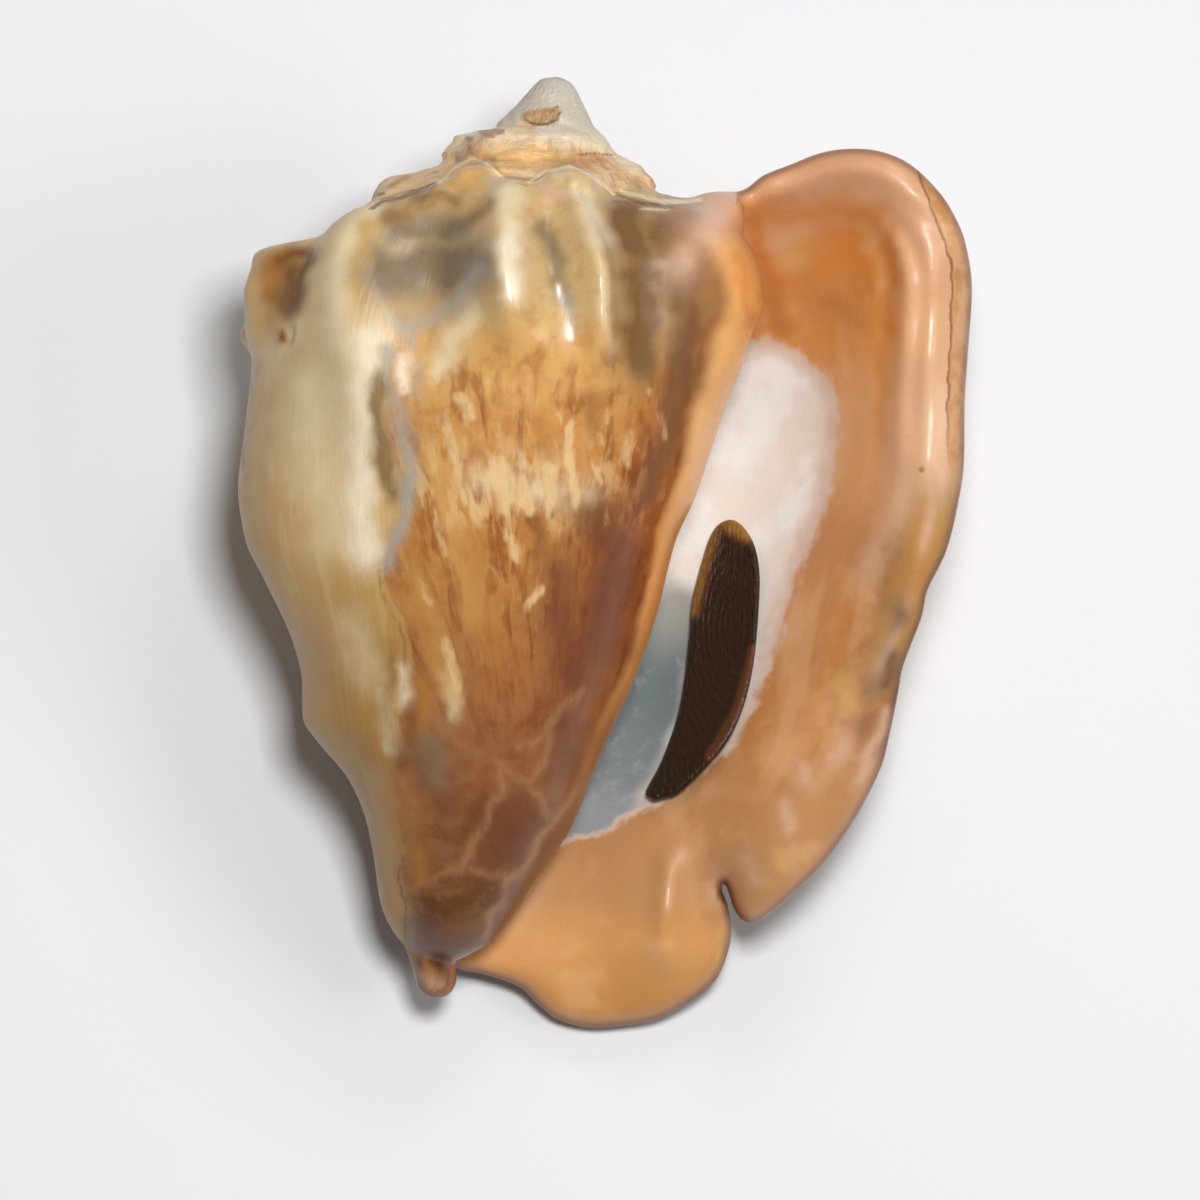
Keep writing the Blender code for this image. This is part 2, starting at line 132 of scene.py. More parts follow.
def bent_plate(points):
    """A smooth height over x and y through (x, y, height) points."""
    known = np.array(points, dtype=float)
    count = len(known)

    def pull(distance2):
        return 0.5 * distance2 * np.log(distance2 + 1e-9)

    apart = (known[:, None, 0] - known[None, :, 0]) ** 2 + (known[:, None, 1] - known[None, :, 1]) ** 2
    table = np.zeros((count + 3, count + 3))
    table[:count, :count] = pull(apart) + np.eye(count) * EVENING
    table[:count, count] = 1
    table[:count, count + 1 :] = known[:, :2]
    table[count:, :count] = table[:count, count:].T
    weights = np.linalg.solve(table, np.concatenate([known[:, 2], np.zeros(3)]))

    def at(x, y):
        height = weights[count] + weights[count + 1] * x + weights[count + 2] * y
        for (px, py, _), weight in zip(known, weights[:count]):
            height = height + weight * pull((x - px) ** 2 + (y - py) ** 2)
        return height

    return at


def rod(x, y, z, start, end, first, last):
    """Distance to a tapering rod with round ends."""
    run = [end[i] - start[i] for i in range(3)]
    length2 = run[0] ** 2 + run[1] ** 2 + run[2] ** 2
    t = np.clip(((x - start[0]) * run[0] + (y - start[1]) * run[1] + (z - start[2]) * run[2]) / length2, 0, 1)
    gap2 = (x - start[0] - t * run[0]) ** 2 + (y - start[1] - t * run[1]) ** 2 + (z - start[2] - t * run[2]) ** 2
    return np.sqrt(gap2) - (first + (last - first) * t)


# ---------------------------------------------------------------- the coiling axis
AXIS_LENGTH = math.hypot(FOOT[0] - APEX[0], FOOT[1] - APEX[1])
DOWN = ((FOOT[0] - APEX[0]) / AXIS_LENGTH, (FOOT[1] - APEX[1]) / AXIS_LENGTH)
OUT = (-DOWN[1], DOWN[0])


def along_axis(x, y):
    return (x - APEX[0]) * DOWN[0] + (y - APEX[1]) * DOWN[1]


def across_axis(x, y):
    return (x - APEX[0]) * OUT[0] + (y - APEX[1]) * OUT[1]


# ---------------------------------------------------------------- spire and body whorl
# Reach of the body whorl from the axis, against the distance down the axis.
left_reach = smooth_curve(
    [
        (10, 30), (27, 33.0), (33, 34.0), (43, 33.3), (55, 33.2), (63, 31.3), (67.5, 28.4), (75, 23.7),
        (79.4, 22.0), (84.4, 21.2), (87, 19.0), (91, 14.7), (96, 11.7), (101, 10.0), (106, 8.6),
        (109.5, 6.5), (111.8, 3.5), (113, 0.2),
    ]
)
right_reach = smooth_curve(
    [
        (10, 24), (16.3, 25.0), (18.5, 27.2), (21.5, 28.9), (25.5, 29.7), (29, 28.6), (33, 28.0), (37.4, 26.8),
        (45, 25.3), (50.4, 24.2), (56, 22.5), (65, 21.4), (73.4, 19.8), (79, 18.2), (85, 16.5), (94, 14.0),
        (97.2, 12.4), (104.6, 8.9), (109, 6.3), (111.5, 3.0), (113, 0.2),
    ]
)
front_reach = smooth_curve(
    [
        (10, 25), (25, 27.0), (33, 27.5), (43, 26.5), (55, 24.5), (67, 21.5), (78, 18.0), (90, 14.0),
        (100, 10.5), (106, 8.0), (110, 5.0), (113, 0.2),
    ]
)
back_reach = smooth_curve(
    [
        (10, 30), (31, 31.0), (40, 31.0), (50, 29.5), (60, 27.0), (70, 24.0), (80, 20.5), (90, 16.5),
        (100, 12.5), (108, 8.0), (113, 0.2),
    ]
)
# The lower end bends towards the back.
axis_height = smooth_curve([(0, 0), (60, 0), (80, -1.0), (100, -4.0), (113, -6.5)])

# The shoulder of the spiral, against turns of growth: how far down the axis and how far out it lies.
shoulder_down = smooth_curve(
    [
        (-1.5, 1.8), (-1, 3.4), (-0.5, 5.2), (0, 6.6), (0.25, 7.6), (0.5, 9.0), (0.75, 9.4), (1, 10.0),
        (1.2, 12.3), (1.36, 13.4), (1.5, 15.4), (1.75, 18.0), (2, 21.0), (2.5, 28.0), (3, 35.0),
    ]
)
shoulder_out = smooth_curve(
    [
        (-1.5, 2.6), (-1, 4.0), (-0.5, 5.8), (0, 7.4), (0.25, 9.2), (0.5, 11.5), (0.75, 11.9), (1, 12.2),
        (1.2, 14.2), (1.36, 15.6), (1.5, 18.2), (1.75, 21.5), (2, 25.0), (2.25, 27.0), (2.5, 33.0), (2.75, 31.5),
        (3, 30.0),
    ]
)
# The last whorl's own shoulder, carried up on the right by the callus.
body_shoulder = smooth_curve([(0, 16.5), (0.08, 17.5), (0.16, 21.0), (0.25, 24.5), (0.5, 28.0), (0.75, 31.5), (1, 35.0)])
body_ramp = smooth_curve(
    [
        (-1.0, 0.0), (-0.6, 0.1), (-0.5, 0.35), (-0.44, 0.57), (-0.36, 0.70), (-0.25, 0.82), (-0.1, 0.97),
        (0, 1.07), (0.1, 1.2), (1.0, 2.0),
    ]
)
ramp_haste = smooth_curve([(0, 2.0), (0.12, 1.6), (0.25, 1.0), (0.9, 1.0), (1, 1.0)])
# The ramp from the suture out to the shoulder, as shares of the shoulder's own place.
ramp_shape = smooth_curve(
    [
        (-1.0, 0.0), (-0.35, 0.1), (-0.2, 0.3), (-0.15, 0.55), (-0.11, 0.70), (-0.06, 0.78), (-0.03, 0.87),
        (0, 0.93), (0.06, 0.98), (0.14, 1.06), (1.0, 1.6),
    ]
)
cone_reach = smooth_curve(
    [(0, 0), (0.3, 1.5), (1.2, 2.5), (2.5, 3.4), (4.5, 4.7), (7, 5.9), (9, 6.0), (20, 6.0), (60, 0)]
)
KNOBS_A_TURN = 6
KNOB_SHARE = 0.07

# Ribs, knobs and hollows of the body whorl: lines through (distance down the axis, angle from the right over
# the front, height), and their half width. A height below nought is a hollow.
BODY_RELIEF = [
    ([(17, 144, 1.0), (24, 140, 2.2), (30, 137, 1.9), (42, 131, 1.2), (56, 124, 0)], 4.0),
    ([(18, 125, 0), (23, 121, -2.8), (28, 117, -3.2), (36, 113, -1.2), (44, 110, 0)], 4.6),
    ([(13.4, 115, 1.6), (13.6, 122, 2.3), (15.5, 126, 1.9), (19, 129, 0.5)], 1.9),
    ([(12.6, 69, 1.2), (12.2, 77, 1.7), (12.8, 85, 1.2)], 1.4),
    ([(12, 105, 0.8), (16, 102, 2.2), (22, 98, 3.4), (28, 94.5, 3.0), (39, 89, 0)], 2.9),
    ([(15, 90, 0), (21, 86, -1.7), (27, 83, -0.9), (34, 80, 0)], 3.0),
    ([(11.5, 78, 1.0), (16, 77, 2.2), (22, 73, 2.7), (29, 70.5, 2.5), (38, 68, 0.8), (44, 66, 0)], 2.0),
    ([(15, 61, 0), (20, 59, -2.2), (27, 56, -2.7), (38, 53, 0)], 4.0),
    ([(10.2, 34, 0.6), (12.5, 30, 0.1)], 1.6),
    ([(14.6, 158, 0.8), (15.8, 150, 1.2), (17, 145, 0.8)], 1.5),
    ([(14.8, 170, 1.4), (15.4, 188, 1.4)], 1.6),
    ([(18.5, 158, -2.0), (21.5, 169, -6.4), (22, 182, -6.4), (22, 196, -4.5)], 3.8),
    ([(25.0, 157, -0.9), (29, 158, -1.3), (33, 157, -0.8), (38, 157, 0)], 2.4),
    ([(26.5, 168, 0.8), (30, 170, 1.4), (36, 170, 0.8), (41, 170, 0)], 2.4),
    ([(36.6, 154.5, -0.7), (37.4, 155, -0.7)], 0.9),
    ([(26.4, 166, 2.2), (26.6, 182, 2.6)], 2.0),
    ([(28, 176, 1.0), (32, 177, 1.4), (36, 178, 1.0), (41, 178, 0)], 3.2),
    ([(33.5, 192, 0.6), (37.3, 192, 2.7), (41.5, 192, 0)], 2.6),
    ([(29, 218, 3.4), (33, 218, 3.4), (42, 218, 0)], 3.8),
    ([(30, 248, 5.0), (34, 248, 4.6), (44, 248, 0)], 3.8),
    ([(32, 283, 4.2), (36, 283, 3.6), (46, 283, 0)], 4.0),
    ([(35, 312, 3.0), (39, 312, 2.4), (48, 312, 0)], 3.6),
]
# The last whorl laps over the one before along a wavy line: distance down the axis, against the angle.
lap_line = smooth_curve(
    [
        (0, 13.8), (20, 13.8), (42, 15.2), (47, 14.8), (53, 14.0), (67, 12.2), (76, 11.4), (87, 12.6), (95, 14.2),
        (108, 14.0), (116, 12.6), (121, 12.0), (128, 13.6), (132, 15.8), (138, 17.6), (146, 19.5), (160, 20.2),
        (172, 19.6), (184, 21.6), (196, 21.0), (208, 22.8), (222, 22.0), (236, 23.8), (250, 23.0), (266, 25.0),
        (282, 24.2), (300, 26.0), (320, 25.4), (360, 26.0),
    ]
)
LAP = 0.75
MM_A_DEGREE = 0.47


def angle_gap(angle, centre):
    return (angle - centre + 180.0) % 360.0 - 180.0


def relief(down_axis, angle):
    """Height of the ribs and knobs above the smooth whorl."""
    total = 0.0
    for path, width in BODY_RELIEF:
        across = angle_gap(angle, path[0][1]) * MM_A_DEGREE
        nearest = 1e9
        height = 0.0
        for (d0, a0, h0), (d1, a1, h1) in zip(path, path[1:]):
            run = d1 - d0
            first = (a0 - path[0][1]) * MM_A_DEGREE
            rise = (a1 - a0) * MM_A_DEGREE
            t = np.clip(((down_axis - d0) * run + (across - first) * rise) / (run * run + rise * rise), 0, 1)
            away = (down_axis - d0 - t * run) ** 2 + (across - first - t * rise) ** 2
            height = np.where(away < nearest, h0 + (h1 - h0) * t * t * (3 - 2 * t), height)
            nearest = np.minimum(away, nearest)
        total = total + height * np.exp(-nearest / width**2)
    return total


def crumple(down_axis, angle):
    """Small uneven lumps of the worn spire."""
    turn = np.radians(angle)
    lumps = np.sin(7 * turn + 1.3 * np.sin(3 * turn) + 1.1 * down_axis) * np.sin(1.7 * down_axis + np.sin(5 * turn))
    lumps = lumps + 0.5 * np.sin(13 * turn - 2.3 * down_axis) * np.sin(2.9 * down_axis + 2.0 * np.sin(4 * turn))
    worn = np.clip((down_axis - 4.0) / 4.0, 0, 1) * np.clip((18.0 - down_axis) / 5.0, 0, 1)
    return 0.38 * lumps * worn


def lap(down_axis, angle):
    """The thin overlapping edge of the last whorl."""
    past = down_axis - lap_line(angle)
    rise = np.clip(past / 0.5, 0, 1)
    fade = np.clip(1 - past / 7.0, 0, 1)
    ends = np.clip((angle - 15.0) / 15.0, 0, 1) * np.clip((340.0 - angle) / 15.0, 0, 1)
    return LAP * rise * rise * (3 - 2 * rise) * fade * ends


def body_radius(down_axis, angle):
    """Distance from the axis to the outer face of the spire and the body whorl."""
    cos = np.cos(np.radians(angle))
    sin = np.sin(np.radians(angle))
    side = np.where(cos > 0, right_reach(down_axis), left_reach(down_axis))
    depth = np.where(sin > 0, front_reach(down_axis), back_reach(down_axis))
    barrel = 1.0 / np.sqrt((cos / side) ** 2 + (sin / depth) ** 2)
    turn = angle / 360.0
    shoulder = body_shoulder(turn)
    share = (down_axis - shoulder) / shoulder * ramp_haste(turn)
    radius = smooth_min(barrel, shoulder_out(turn + 2) * body_ramp(share), 4.5)
    for whorl in (-1, 0, 1):
        growth = turn + whorl
        shoulder = shoulder_down(growth)
        knobs = KNOB_SHARE * np.cos(2 * np.pi * (growth - 0.03) * KNOBS_A_TURN)
        wide = shoulder_out(growth) * (1 + knobs * np.clip((growth + 0.1) * 2, 0, 1))
        ramp = wide * (ramp_shape((down_axis - shoulder) / shoulder) + 0.05)
        below = np.maximum(down_axis - shoulder, 0)
        wall = wide + 1.3 * (1 - np.exp(-below / 1.5)) - 0.35 * np.maximum(below - 4, 0)
        radius = smooth_max(radius, smooth_min(ramp, wall, 2.2), 1.0)
    radius = smooth_max(np.where(down_axis > 1.0, radius, 0), cone_reach(down_axis), 0.8)
    return radius + relief(down_axis, angle) + lap(down_axis, angle) + crumple(down_axis, angle)


# ---------------------------------------------------------------- outer wall, lip and canal
# Margin of the outer wall: up the callus, round the lip, into the notch, round the canal and back under the body.
LIP_OUTLINE = [
    (5, 38), (9, 43), (11.7, 44.6), (17.0, 45.5), (19.8, 47.5), (23.3, 48.9), (27.0, 50.3), (30.7, 50.8),
    (34.6, 50.4), (38.2, 48.8), (41.7, 45.5), (43.8, 42.3), (45.2, 38.8), (46.0, 33.5), (45.6, 26.5),
    (45.1, 19.4), (45.0, 11.8), (44.4, 7.1), (42.8, 0.5), (40.4, -4.5), (39.6, -8.1), (37.4, -13.9),
    (36.7, -17.6), (35.5, -23.4), (34.4, -27.3), (31.2, -33.5), (27.0, -39.3), (22.4, -43.8), (19.5, -46.2),
    (17.7, -46.4), (16.4, -45.0), (15.6, -42.6), (15.0, -41.4), (14.5, -42.2), (15.2, -44.2), (15.8, -47.1),
    (15.5, -49.8), (14.2, -53.4), (11.5, -56.1), (6.9, -58.8), (2.5, -59.7), (-2.0, -60.0), (-6.0, -59.0),
    (-8.3, -57.3), (-11.0, -54.8), (-15.5, -53.2), (-19.5, -52.0), (-22, -47), (-22, -35), (-20, -15),
    (-17, 10), (-12, 30), (-3, 36),
]
# Inner face of the outer wall, as (x, y, height) points in rows from the apex end to the canal.
INNER_FACE = [
    (19, 46.5, 3), (25, 49, 4), (31, 49, 6), (37, 47, 7), (41, 43, 7), (43.5, 38, 7),
    (8, 37, -4), (0, 36, -14), (12, 41, 0), (15, 43, 2),
    (21, 40, -4.5), (25, 42, -2), (30, 43, 1), (34, 41, 3), (36, 44, 7.4), (38, 40, 7),
    (20, 33, -10.5), (25, 34, -7.5), (30, 34, -3.5), (35.2, 34, 3), (37.6, 34, 6.9), (40.3, 34, 7.8), (45.0, 33, 3.4),
    (-14, 25, -17), (-5, 25, -26.8), (2, 25, -25.8), (8, 25, -23.5), (14, 25, -19.5), (20, 25, -15.5), (25, 26, -12), (30, 25, -5.5), (35, 25, 2),
    (38, 25, 6.3), (40.4, 25, 7.6), (45, 25, 3.4),
    (-14, 12, -17), (-6, 12, -25.2), (0, 12, -24.8), (8, 12, -23), (14, 12, -20.5), (20, 12, -16.5), (25, 12, -12), (29, 12, -7),
    (34, 12, 0), (38, 12, 5.8), (40.4, 12, 7.4), (44.5, 12, 3.9),
    (-16, 0, -15), (-8, 0, -23.4), (0, 0, -23), (8, 0, -21.5), (15, 0, -18.5), (20, 0, -15), (25.8, 0, -8.5), (31, 0, -1.5),
    (36, 0, 4.5), (39.5, 0, 7), (42.0, 0, 5),
    (-18, -15, -12), (-11, -15, -19.8), (-4, -15, -20), (4, -15, -19), (12, -15, -16), (17, -15, -11.5), (21, -15, -7),
    (27, -15, 0), (32, -15, 4.5), (35, -15, 5), (37, -16, 3),
    (-20, -27, -9), (-13, -27, -16), (-8, -27, -17), (-1, -27, -16.8), (6, -27, -13.5), (12, -27, -8), (18, -27, -2.5),
    (25, -27, 2), (30, -27, 3.5), (34, -27, 1.5),
    (-21, -38, -8), (-15, -38, -13.5), (-5, -36, -15), (0, -36, -12), (5, -36, -9), (8.5, -38, -6.8),
    (12, -38, -6.2), (16, -37, -3), (22, -36, 0.5), (28, -36, 0.5), (20, -43, -2), (17.5, -46, -3.5),
    (-11, -45, -13), (-5, -45, -11.5), (0, -45, -10), (5, -45, -7.5), (7.8, -45, -5.6), (11, -44, -8.6), (12, -41, -8),
    (14.5, -47, -10.5),
    (-16, -51, -13.5), (-8, -53, -12.5), (0, -53, -12), (6.8, -52, -8.5), (12, -54, -13),
    (-4, -59, -14.5), (4, -59, -14.5),
]
inner_plate = bent_plate(INNER_FACE)
LIP_EDGE = rounded_outline(LIP_OUTLINE)

# Folds that run along inside the outer lip: distance in from the margin, height and half width.
LIP_FOLDS = [(10.6, -0.6, 1.5), (8.2, 0.5, 1.3), (6.4, -0.3, 1.0), (4.6, 0.5, 1.6)]


def inner_face(x, y):
    """Height of the inner face of the outer wall."""
    inward = -distance_to_outline(x, y, LIP_EDGE)
    share = np.clip((x - 32.0) / 4.0, 0, 1) * np.clip((y - 4.0) / 20.0, 0, 1) * np.clip((46.0 - y) / 7.0, 0, 1)
    folds = 0
    for place, height, width in LIP_FOLDS:
        folds = folds + height * np.exp(-(((inward - place) / width) ** 2))
    top = np.clip((y - 41.0) / 4.0, 0, 1) * np.clip((x - 17.0) / 4.0, 0, 1)
    folds = folds * share + 0.9 * top * np.exp(-(((inward - 2.8) / 1.7) ** 2))
    tongue = np.clip((-36.0 - y) / 4.0, 0, 1) * np.clip((y + 54.0) / 4.0, 0, 1)
    tongue = 1.3 * tongue * np.exp(-(((x - 7.9 - 0.05 * (y + 44.0)) / 2.0) ** 2))
    return inner_plate(x, y) + folds + tongue

# The hollow behind the inner wall: how thick that wall is and how far the hollow reaches to the left.
column_back = smooth_curve([(0, 4), (20, 6), (30, 9), (50, 11), (70, 9), (90, 6.0), (100, 4.5), (113, 3)])
hollow_left = smooth_curve(
    [(0, 40), (16, 34), (20, 24), (26, 12), (36, -4), (50, -15), (65, -15), (80, -11), (95, -5), (105, -1), (113, 0)]
)

OPERCULUM_OUTLINE = [
    (14.3, 3.8), (16.0, 4.4), (17.6, 3.3), (18.9, 1.0), (19.5, -2.5), (19.3, -8.0), (18.6, -14.4), (17.2, -19.8),
    (15.0, -24.2), (11.8, -27.8), (9.2, -30.2), (7.2, -30.9), (6.2, -31.2), (5.0, -30.4), (5.4, -29.2), (7.0, -26.2),
    (8.9, -21.0), (9.8, -16.6), (10.5, -10.8), (10.9, -6.0), (12.2, -0.8), (13.2, 2.2),
]
OPERCULUM_EDGE = rounded_outline(OPERCULUM_OUTLINE)


def wall_place(x, y):
    """Height of the outer wall's inner face and how upright that face stands."""
    slope_x = inner_face(x + 0.5, y) - inner_face(x - 0.5, y)
    slope_y = inner_face(x, y + 0.5) - inner_face(x, y - 0.5)
    return inner_face(x, y), 1.0 / np.sqrt(1 + slope_x**2 + slope_y**2)


def shell_distance(x, y, z):
    """Signed distance field of the shell at points, or over a block where x and y are flat and z a column."""
    down_axis = along_axis(x, y)
    height = z - axis_height(down_axis)
    sideways = across_axis(x, y)
    angle = np.degrees(np.arctan2(height, sideways)) % 360.0
    radius = np.hypot(height, sideways)
    to_body = radius - body_radius(down_axis, angle)
    body = smooth_max(to_body, np.maximum(-down_axis, down_axis - 112.6), 0.5) * 0.8

    edge = distance_to_outline(x, y, LIP_EDGE)
    floor, upright = wall_place(x, y)
    swell = RIM_SWELL * np.maximum(np.clip((sideways - 2.0) / 8.0, 0, 1), np.clip((-50.0 - y) / 5.0, 0, 1) * 0.7)
    half = HALF_WALL + swell * np.exp(-(((edge + 2.0) / 4.0) ** 2))
    half = half + 1.3 * np.exp(-((x - 21.0) ** 2 + (y - 27.0) ** 2) / 5.0**2)
    above = (z - floor) * upright
    past = np.maximum(edge + half * 0.95, 0)
    wall = np.hypot(past, above + half) - half
    solid = smooth_min(body, wall, 4.0)

    callus = rod(x, y, z, (8.5, 36.0, 14.5), (14.8, 42.2, 4.5), 3.3, 2.3)
    ledge = rod(x, y, z, (4.5, 41.2, 7.0), (13.4, 41.8, 3.0), 2.2, 2.0)
    solid = smooth_min(solid, smooth_min(callus, ledge, 2.0), 4.0)

    thick = column_back(down_axis)
    right = right_reach(down_axis)
    cos = np.cos(np.radians(angle))
    sin = np.sin(np.radians(angle))
    column = radius - 1.0 / np.sqrt((cos / right) ** 2 + (sin / thick) ** 2)
    clear = np.where(height > 0, to_body - np.clip(height * 0.5, 0, 2), column)
    clear = np.where((sideways < 0) & (height <= 0), -height - thick + sideways * 0.25, clear)
    hollow = smooth_max(-above, -clear, 1.5)
    hollow = smooth_max(hollow, hollow_left(down_axis) - sideways, 3.0)
    solid = smooth_max(solid, -hollow, 0.5)

    stub = rod(x, y, z, (-22.6, -47.5, -7.5), (-21.5, -53.6, -8.5), 3.3, 2.6)
    solid = smooth_min(solid, stub, 1.0)
    pit = rod(x, y, z, (-9.3, 54.7, 5.7), (-6.7, 55.0, 6.1), 1.0, 1.05)
    return smooth_max(solid, -pit, 0.25)


def operculum_distance(x, y, z):
    """Signed distance field of the operculum, a thin plate following the inner face."""
    edge = distance_to_outline(x, y, OPERCULUM_EDGE)
    floor, upright = wall_place(x, y)
    above = (z - floor) * upright
    past = np.maximum(edge + OPERCULUM_HALF, 0)
    return np.hypot(past, above - OPERCULUM_GAP - OPERCULUM_HALF) - OPERCULUM_HALF


# ---------------------------------------------------------------- meshes
def surface_of(distance, box, grid):
    """Points and faces of the zero surface of a distance field over the box."""
    xs = np.arange(box[0][0], box[0][1], grid)
    ys = np.arange(box[1][0], box[1][1], grid)
    zs = np.arange(box[2][0], box[2][1], grid)
    field = np.empty((len(xs), len(ys), len(zs)), dtype=np.float32)
    for first in range(0, len(ys), 16):
        row = ys[first : first + 16]
        field[:, first : first + 16] = distance(xs[:, None, None], row[None, :, None], zs[None, None, :])
    volume = openvdb.FloatGrid(3.0)
    volume.copyFromArray(np.clip(field, -3.0, 3.0))
    points, triangles, quads = volume.convertToPolygons(isovalue=0.0, adaptivity=0.0)
    points = points * grid + np.array([xs[0], ys[0], zs[0]])
    faces = [tuple(reversed(face)) for face in quads.tolist()]
    faces += [tuple(reversed(face)) for face in triangles.tolist()]
    return points, faces


def keep_largest_piece(form):
    """Removes every loose scrap of mesh but the largest."""
    unseen = set(form.verts)
    pieces = []
    while unseen:
        stack = [unseen.pop()]
        piece = set(stack)
        while stack:
            for edge in stack.pop().link_edges:
                for vertex in edge.verts:
                    if vertex not in piece:
                        piece.add(vertex)
                        unseen.discard(vertex)
                        stack.append(vertex)
        pieces.append(piece)
    pieces.sort(key=len)
    for piece in pieces[:-1]:
        bmesh.ops.delete(form, geom=list(piece), context="VERTS")


def fine_mesh(name, surface, triangles):
    """One clean closed mesh in millimetres with at most that many triangles."""
    points, faces = surface
    raw = bpy.data.meshes.new(name)
    raw.from_pydata(points.tolist(), [], faces)
    form = bmesh.new()
    form.from_mesh(raw)
    keep_largest_piece(form)
    bmesh.ops.triangulate(form, faces=form.faces)
    bmesh.ops.recalc_face_normals(form, faces=form.faces)
    form.to_mesh(raw)
    form.free()
    made = bpy.data.objects.new(name, raw)
    bpy.context.scene.collection.objects.link(made)
    count = len(raw.polygons)
    if count > triangles:
        fewer = made.modifiers.new("fewer_faces", "DECIMATE")
        fewer.ratio = triangles / count
        bpy.context.view_layer.update()
        seen = made.evaluated_get(bpy.context.evaluated_depsgraph_get())
        made.data = bpy.data.meshes.new_from_object(seen)
        made.modifiers.clear()
    made.data.shade_smooth()
    return made


def mesh_points(item):
    flat = np.empty(len(item.data.vertices) * 3)
    item.data.vertices.foreach_get("co", flat)
    return flat.reshape(-1, 3)


LYING = np.array(Euler((math.radians(REST_PITCH), math.radians(REST_ROLL), 0.0)).to_matrix())


def lay_down(points):
    """Points of the drawing, in metres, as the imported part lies, up to a shift."""
    return points @ LYING.T / 1000.0


shell = fine_mesh("fine_shell", surface_of(shell_distance, SHELL_SPACE, SHELL_GRID), SHELL_TRIANGLES)
operculum = fine_mesh("fine_operculum", surface_of(operculum_distance, OPERCULUM_SPACE, OPERCULUM_GRID), 60000)

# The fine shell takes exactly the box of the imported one, and the operculum goes with it.
shell_points = lay_down(mesh_points(shell))
low = shell_points.min(axis=0)
high = shell_points.max(axis=0)
box_low, box_high = (np.array(corner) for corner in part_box("shell"))
stretch = (box_high - box_low) / (high - low)
shift = box_low - low * stretch


def settle(item):
    points = lay_down(mesh_points(item)) * stretch + shift
    item.data.vertices.foreach_set("co", points.ravel())
    item.data.update()


# ---------------------------------------------------------------- places of the colours
# Left margin of the glaze that the lip spread over the body whorl, x against y.
glaze_left = smooth_curve(
    [
        (-60, -24), (-48, -25), (-42, -25.2), (-36, -26), (-27, -26.5), (-20, -26), (-14, -24.5), (-9, -25),
        (-6, -26.6), (-3, -28), (0, -27.6), (2, -26), (5, -24.6), (10, -26), (15, -28), (22, -27.6), (27, -27),
        (35, -29), (45, -29.5), (62, -30),
    ]
)
# Edge of the column against the aperture, x against y.
column_edge = smooth_curve(
    [
        (-60, -19.5), (-51.2, -18.6), (-49.5, -14.1), (-47.8, -12.7), (-42.3, -9.6), (-35, -4.5), (-26.2, -0.8),
        (-20.8, 1.5), (-15.4, 3.9), (-7.3, 6.6), (1.6, 8.8), (6.8, 11.3), (12.2, 13.1), (17.5, 14.9), (19.4, 15.5),
        (24, 17.4), (27.5, 18.4), (29.2, 19.5), (32, 20), (35, 19.5), (38, 18.4), (40.6, 16.5), (62, 16.5),
    ]
)
# Where the outer lip's glazed face ends on the right, x against y.
lip_seam = smooth_curve([(-60, 70), (2, 60), (9, 43.8), (14, 42.9), (20, 43), (30, 43.4), (35, 43.5), (41, 41.8), (44, 40.7), (48, 39.2)])
WHITE_OUTLINE = [
    (-5, 27), (8, 27.6), (18.4, 27.3), (21.5, 27.5), (25.5, 24.8), (28.8, 21.6), (29.5, 17.3), (29.2, 13), (27.6, 5),
    (26, 1.4), (24, -4.3), (22, -10.7), (20, -16.8), (16.8, -23.2), (13.5, -26.3), (8.4, -30.6), (3, -33.4),
    (-0.6, -35.4), (-4.8, -36.3), (-12, -38), (-20, -20), (-15, 10),
]

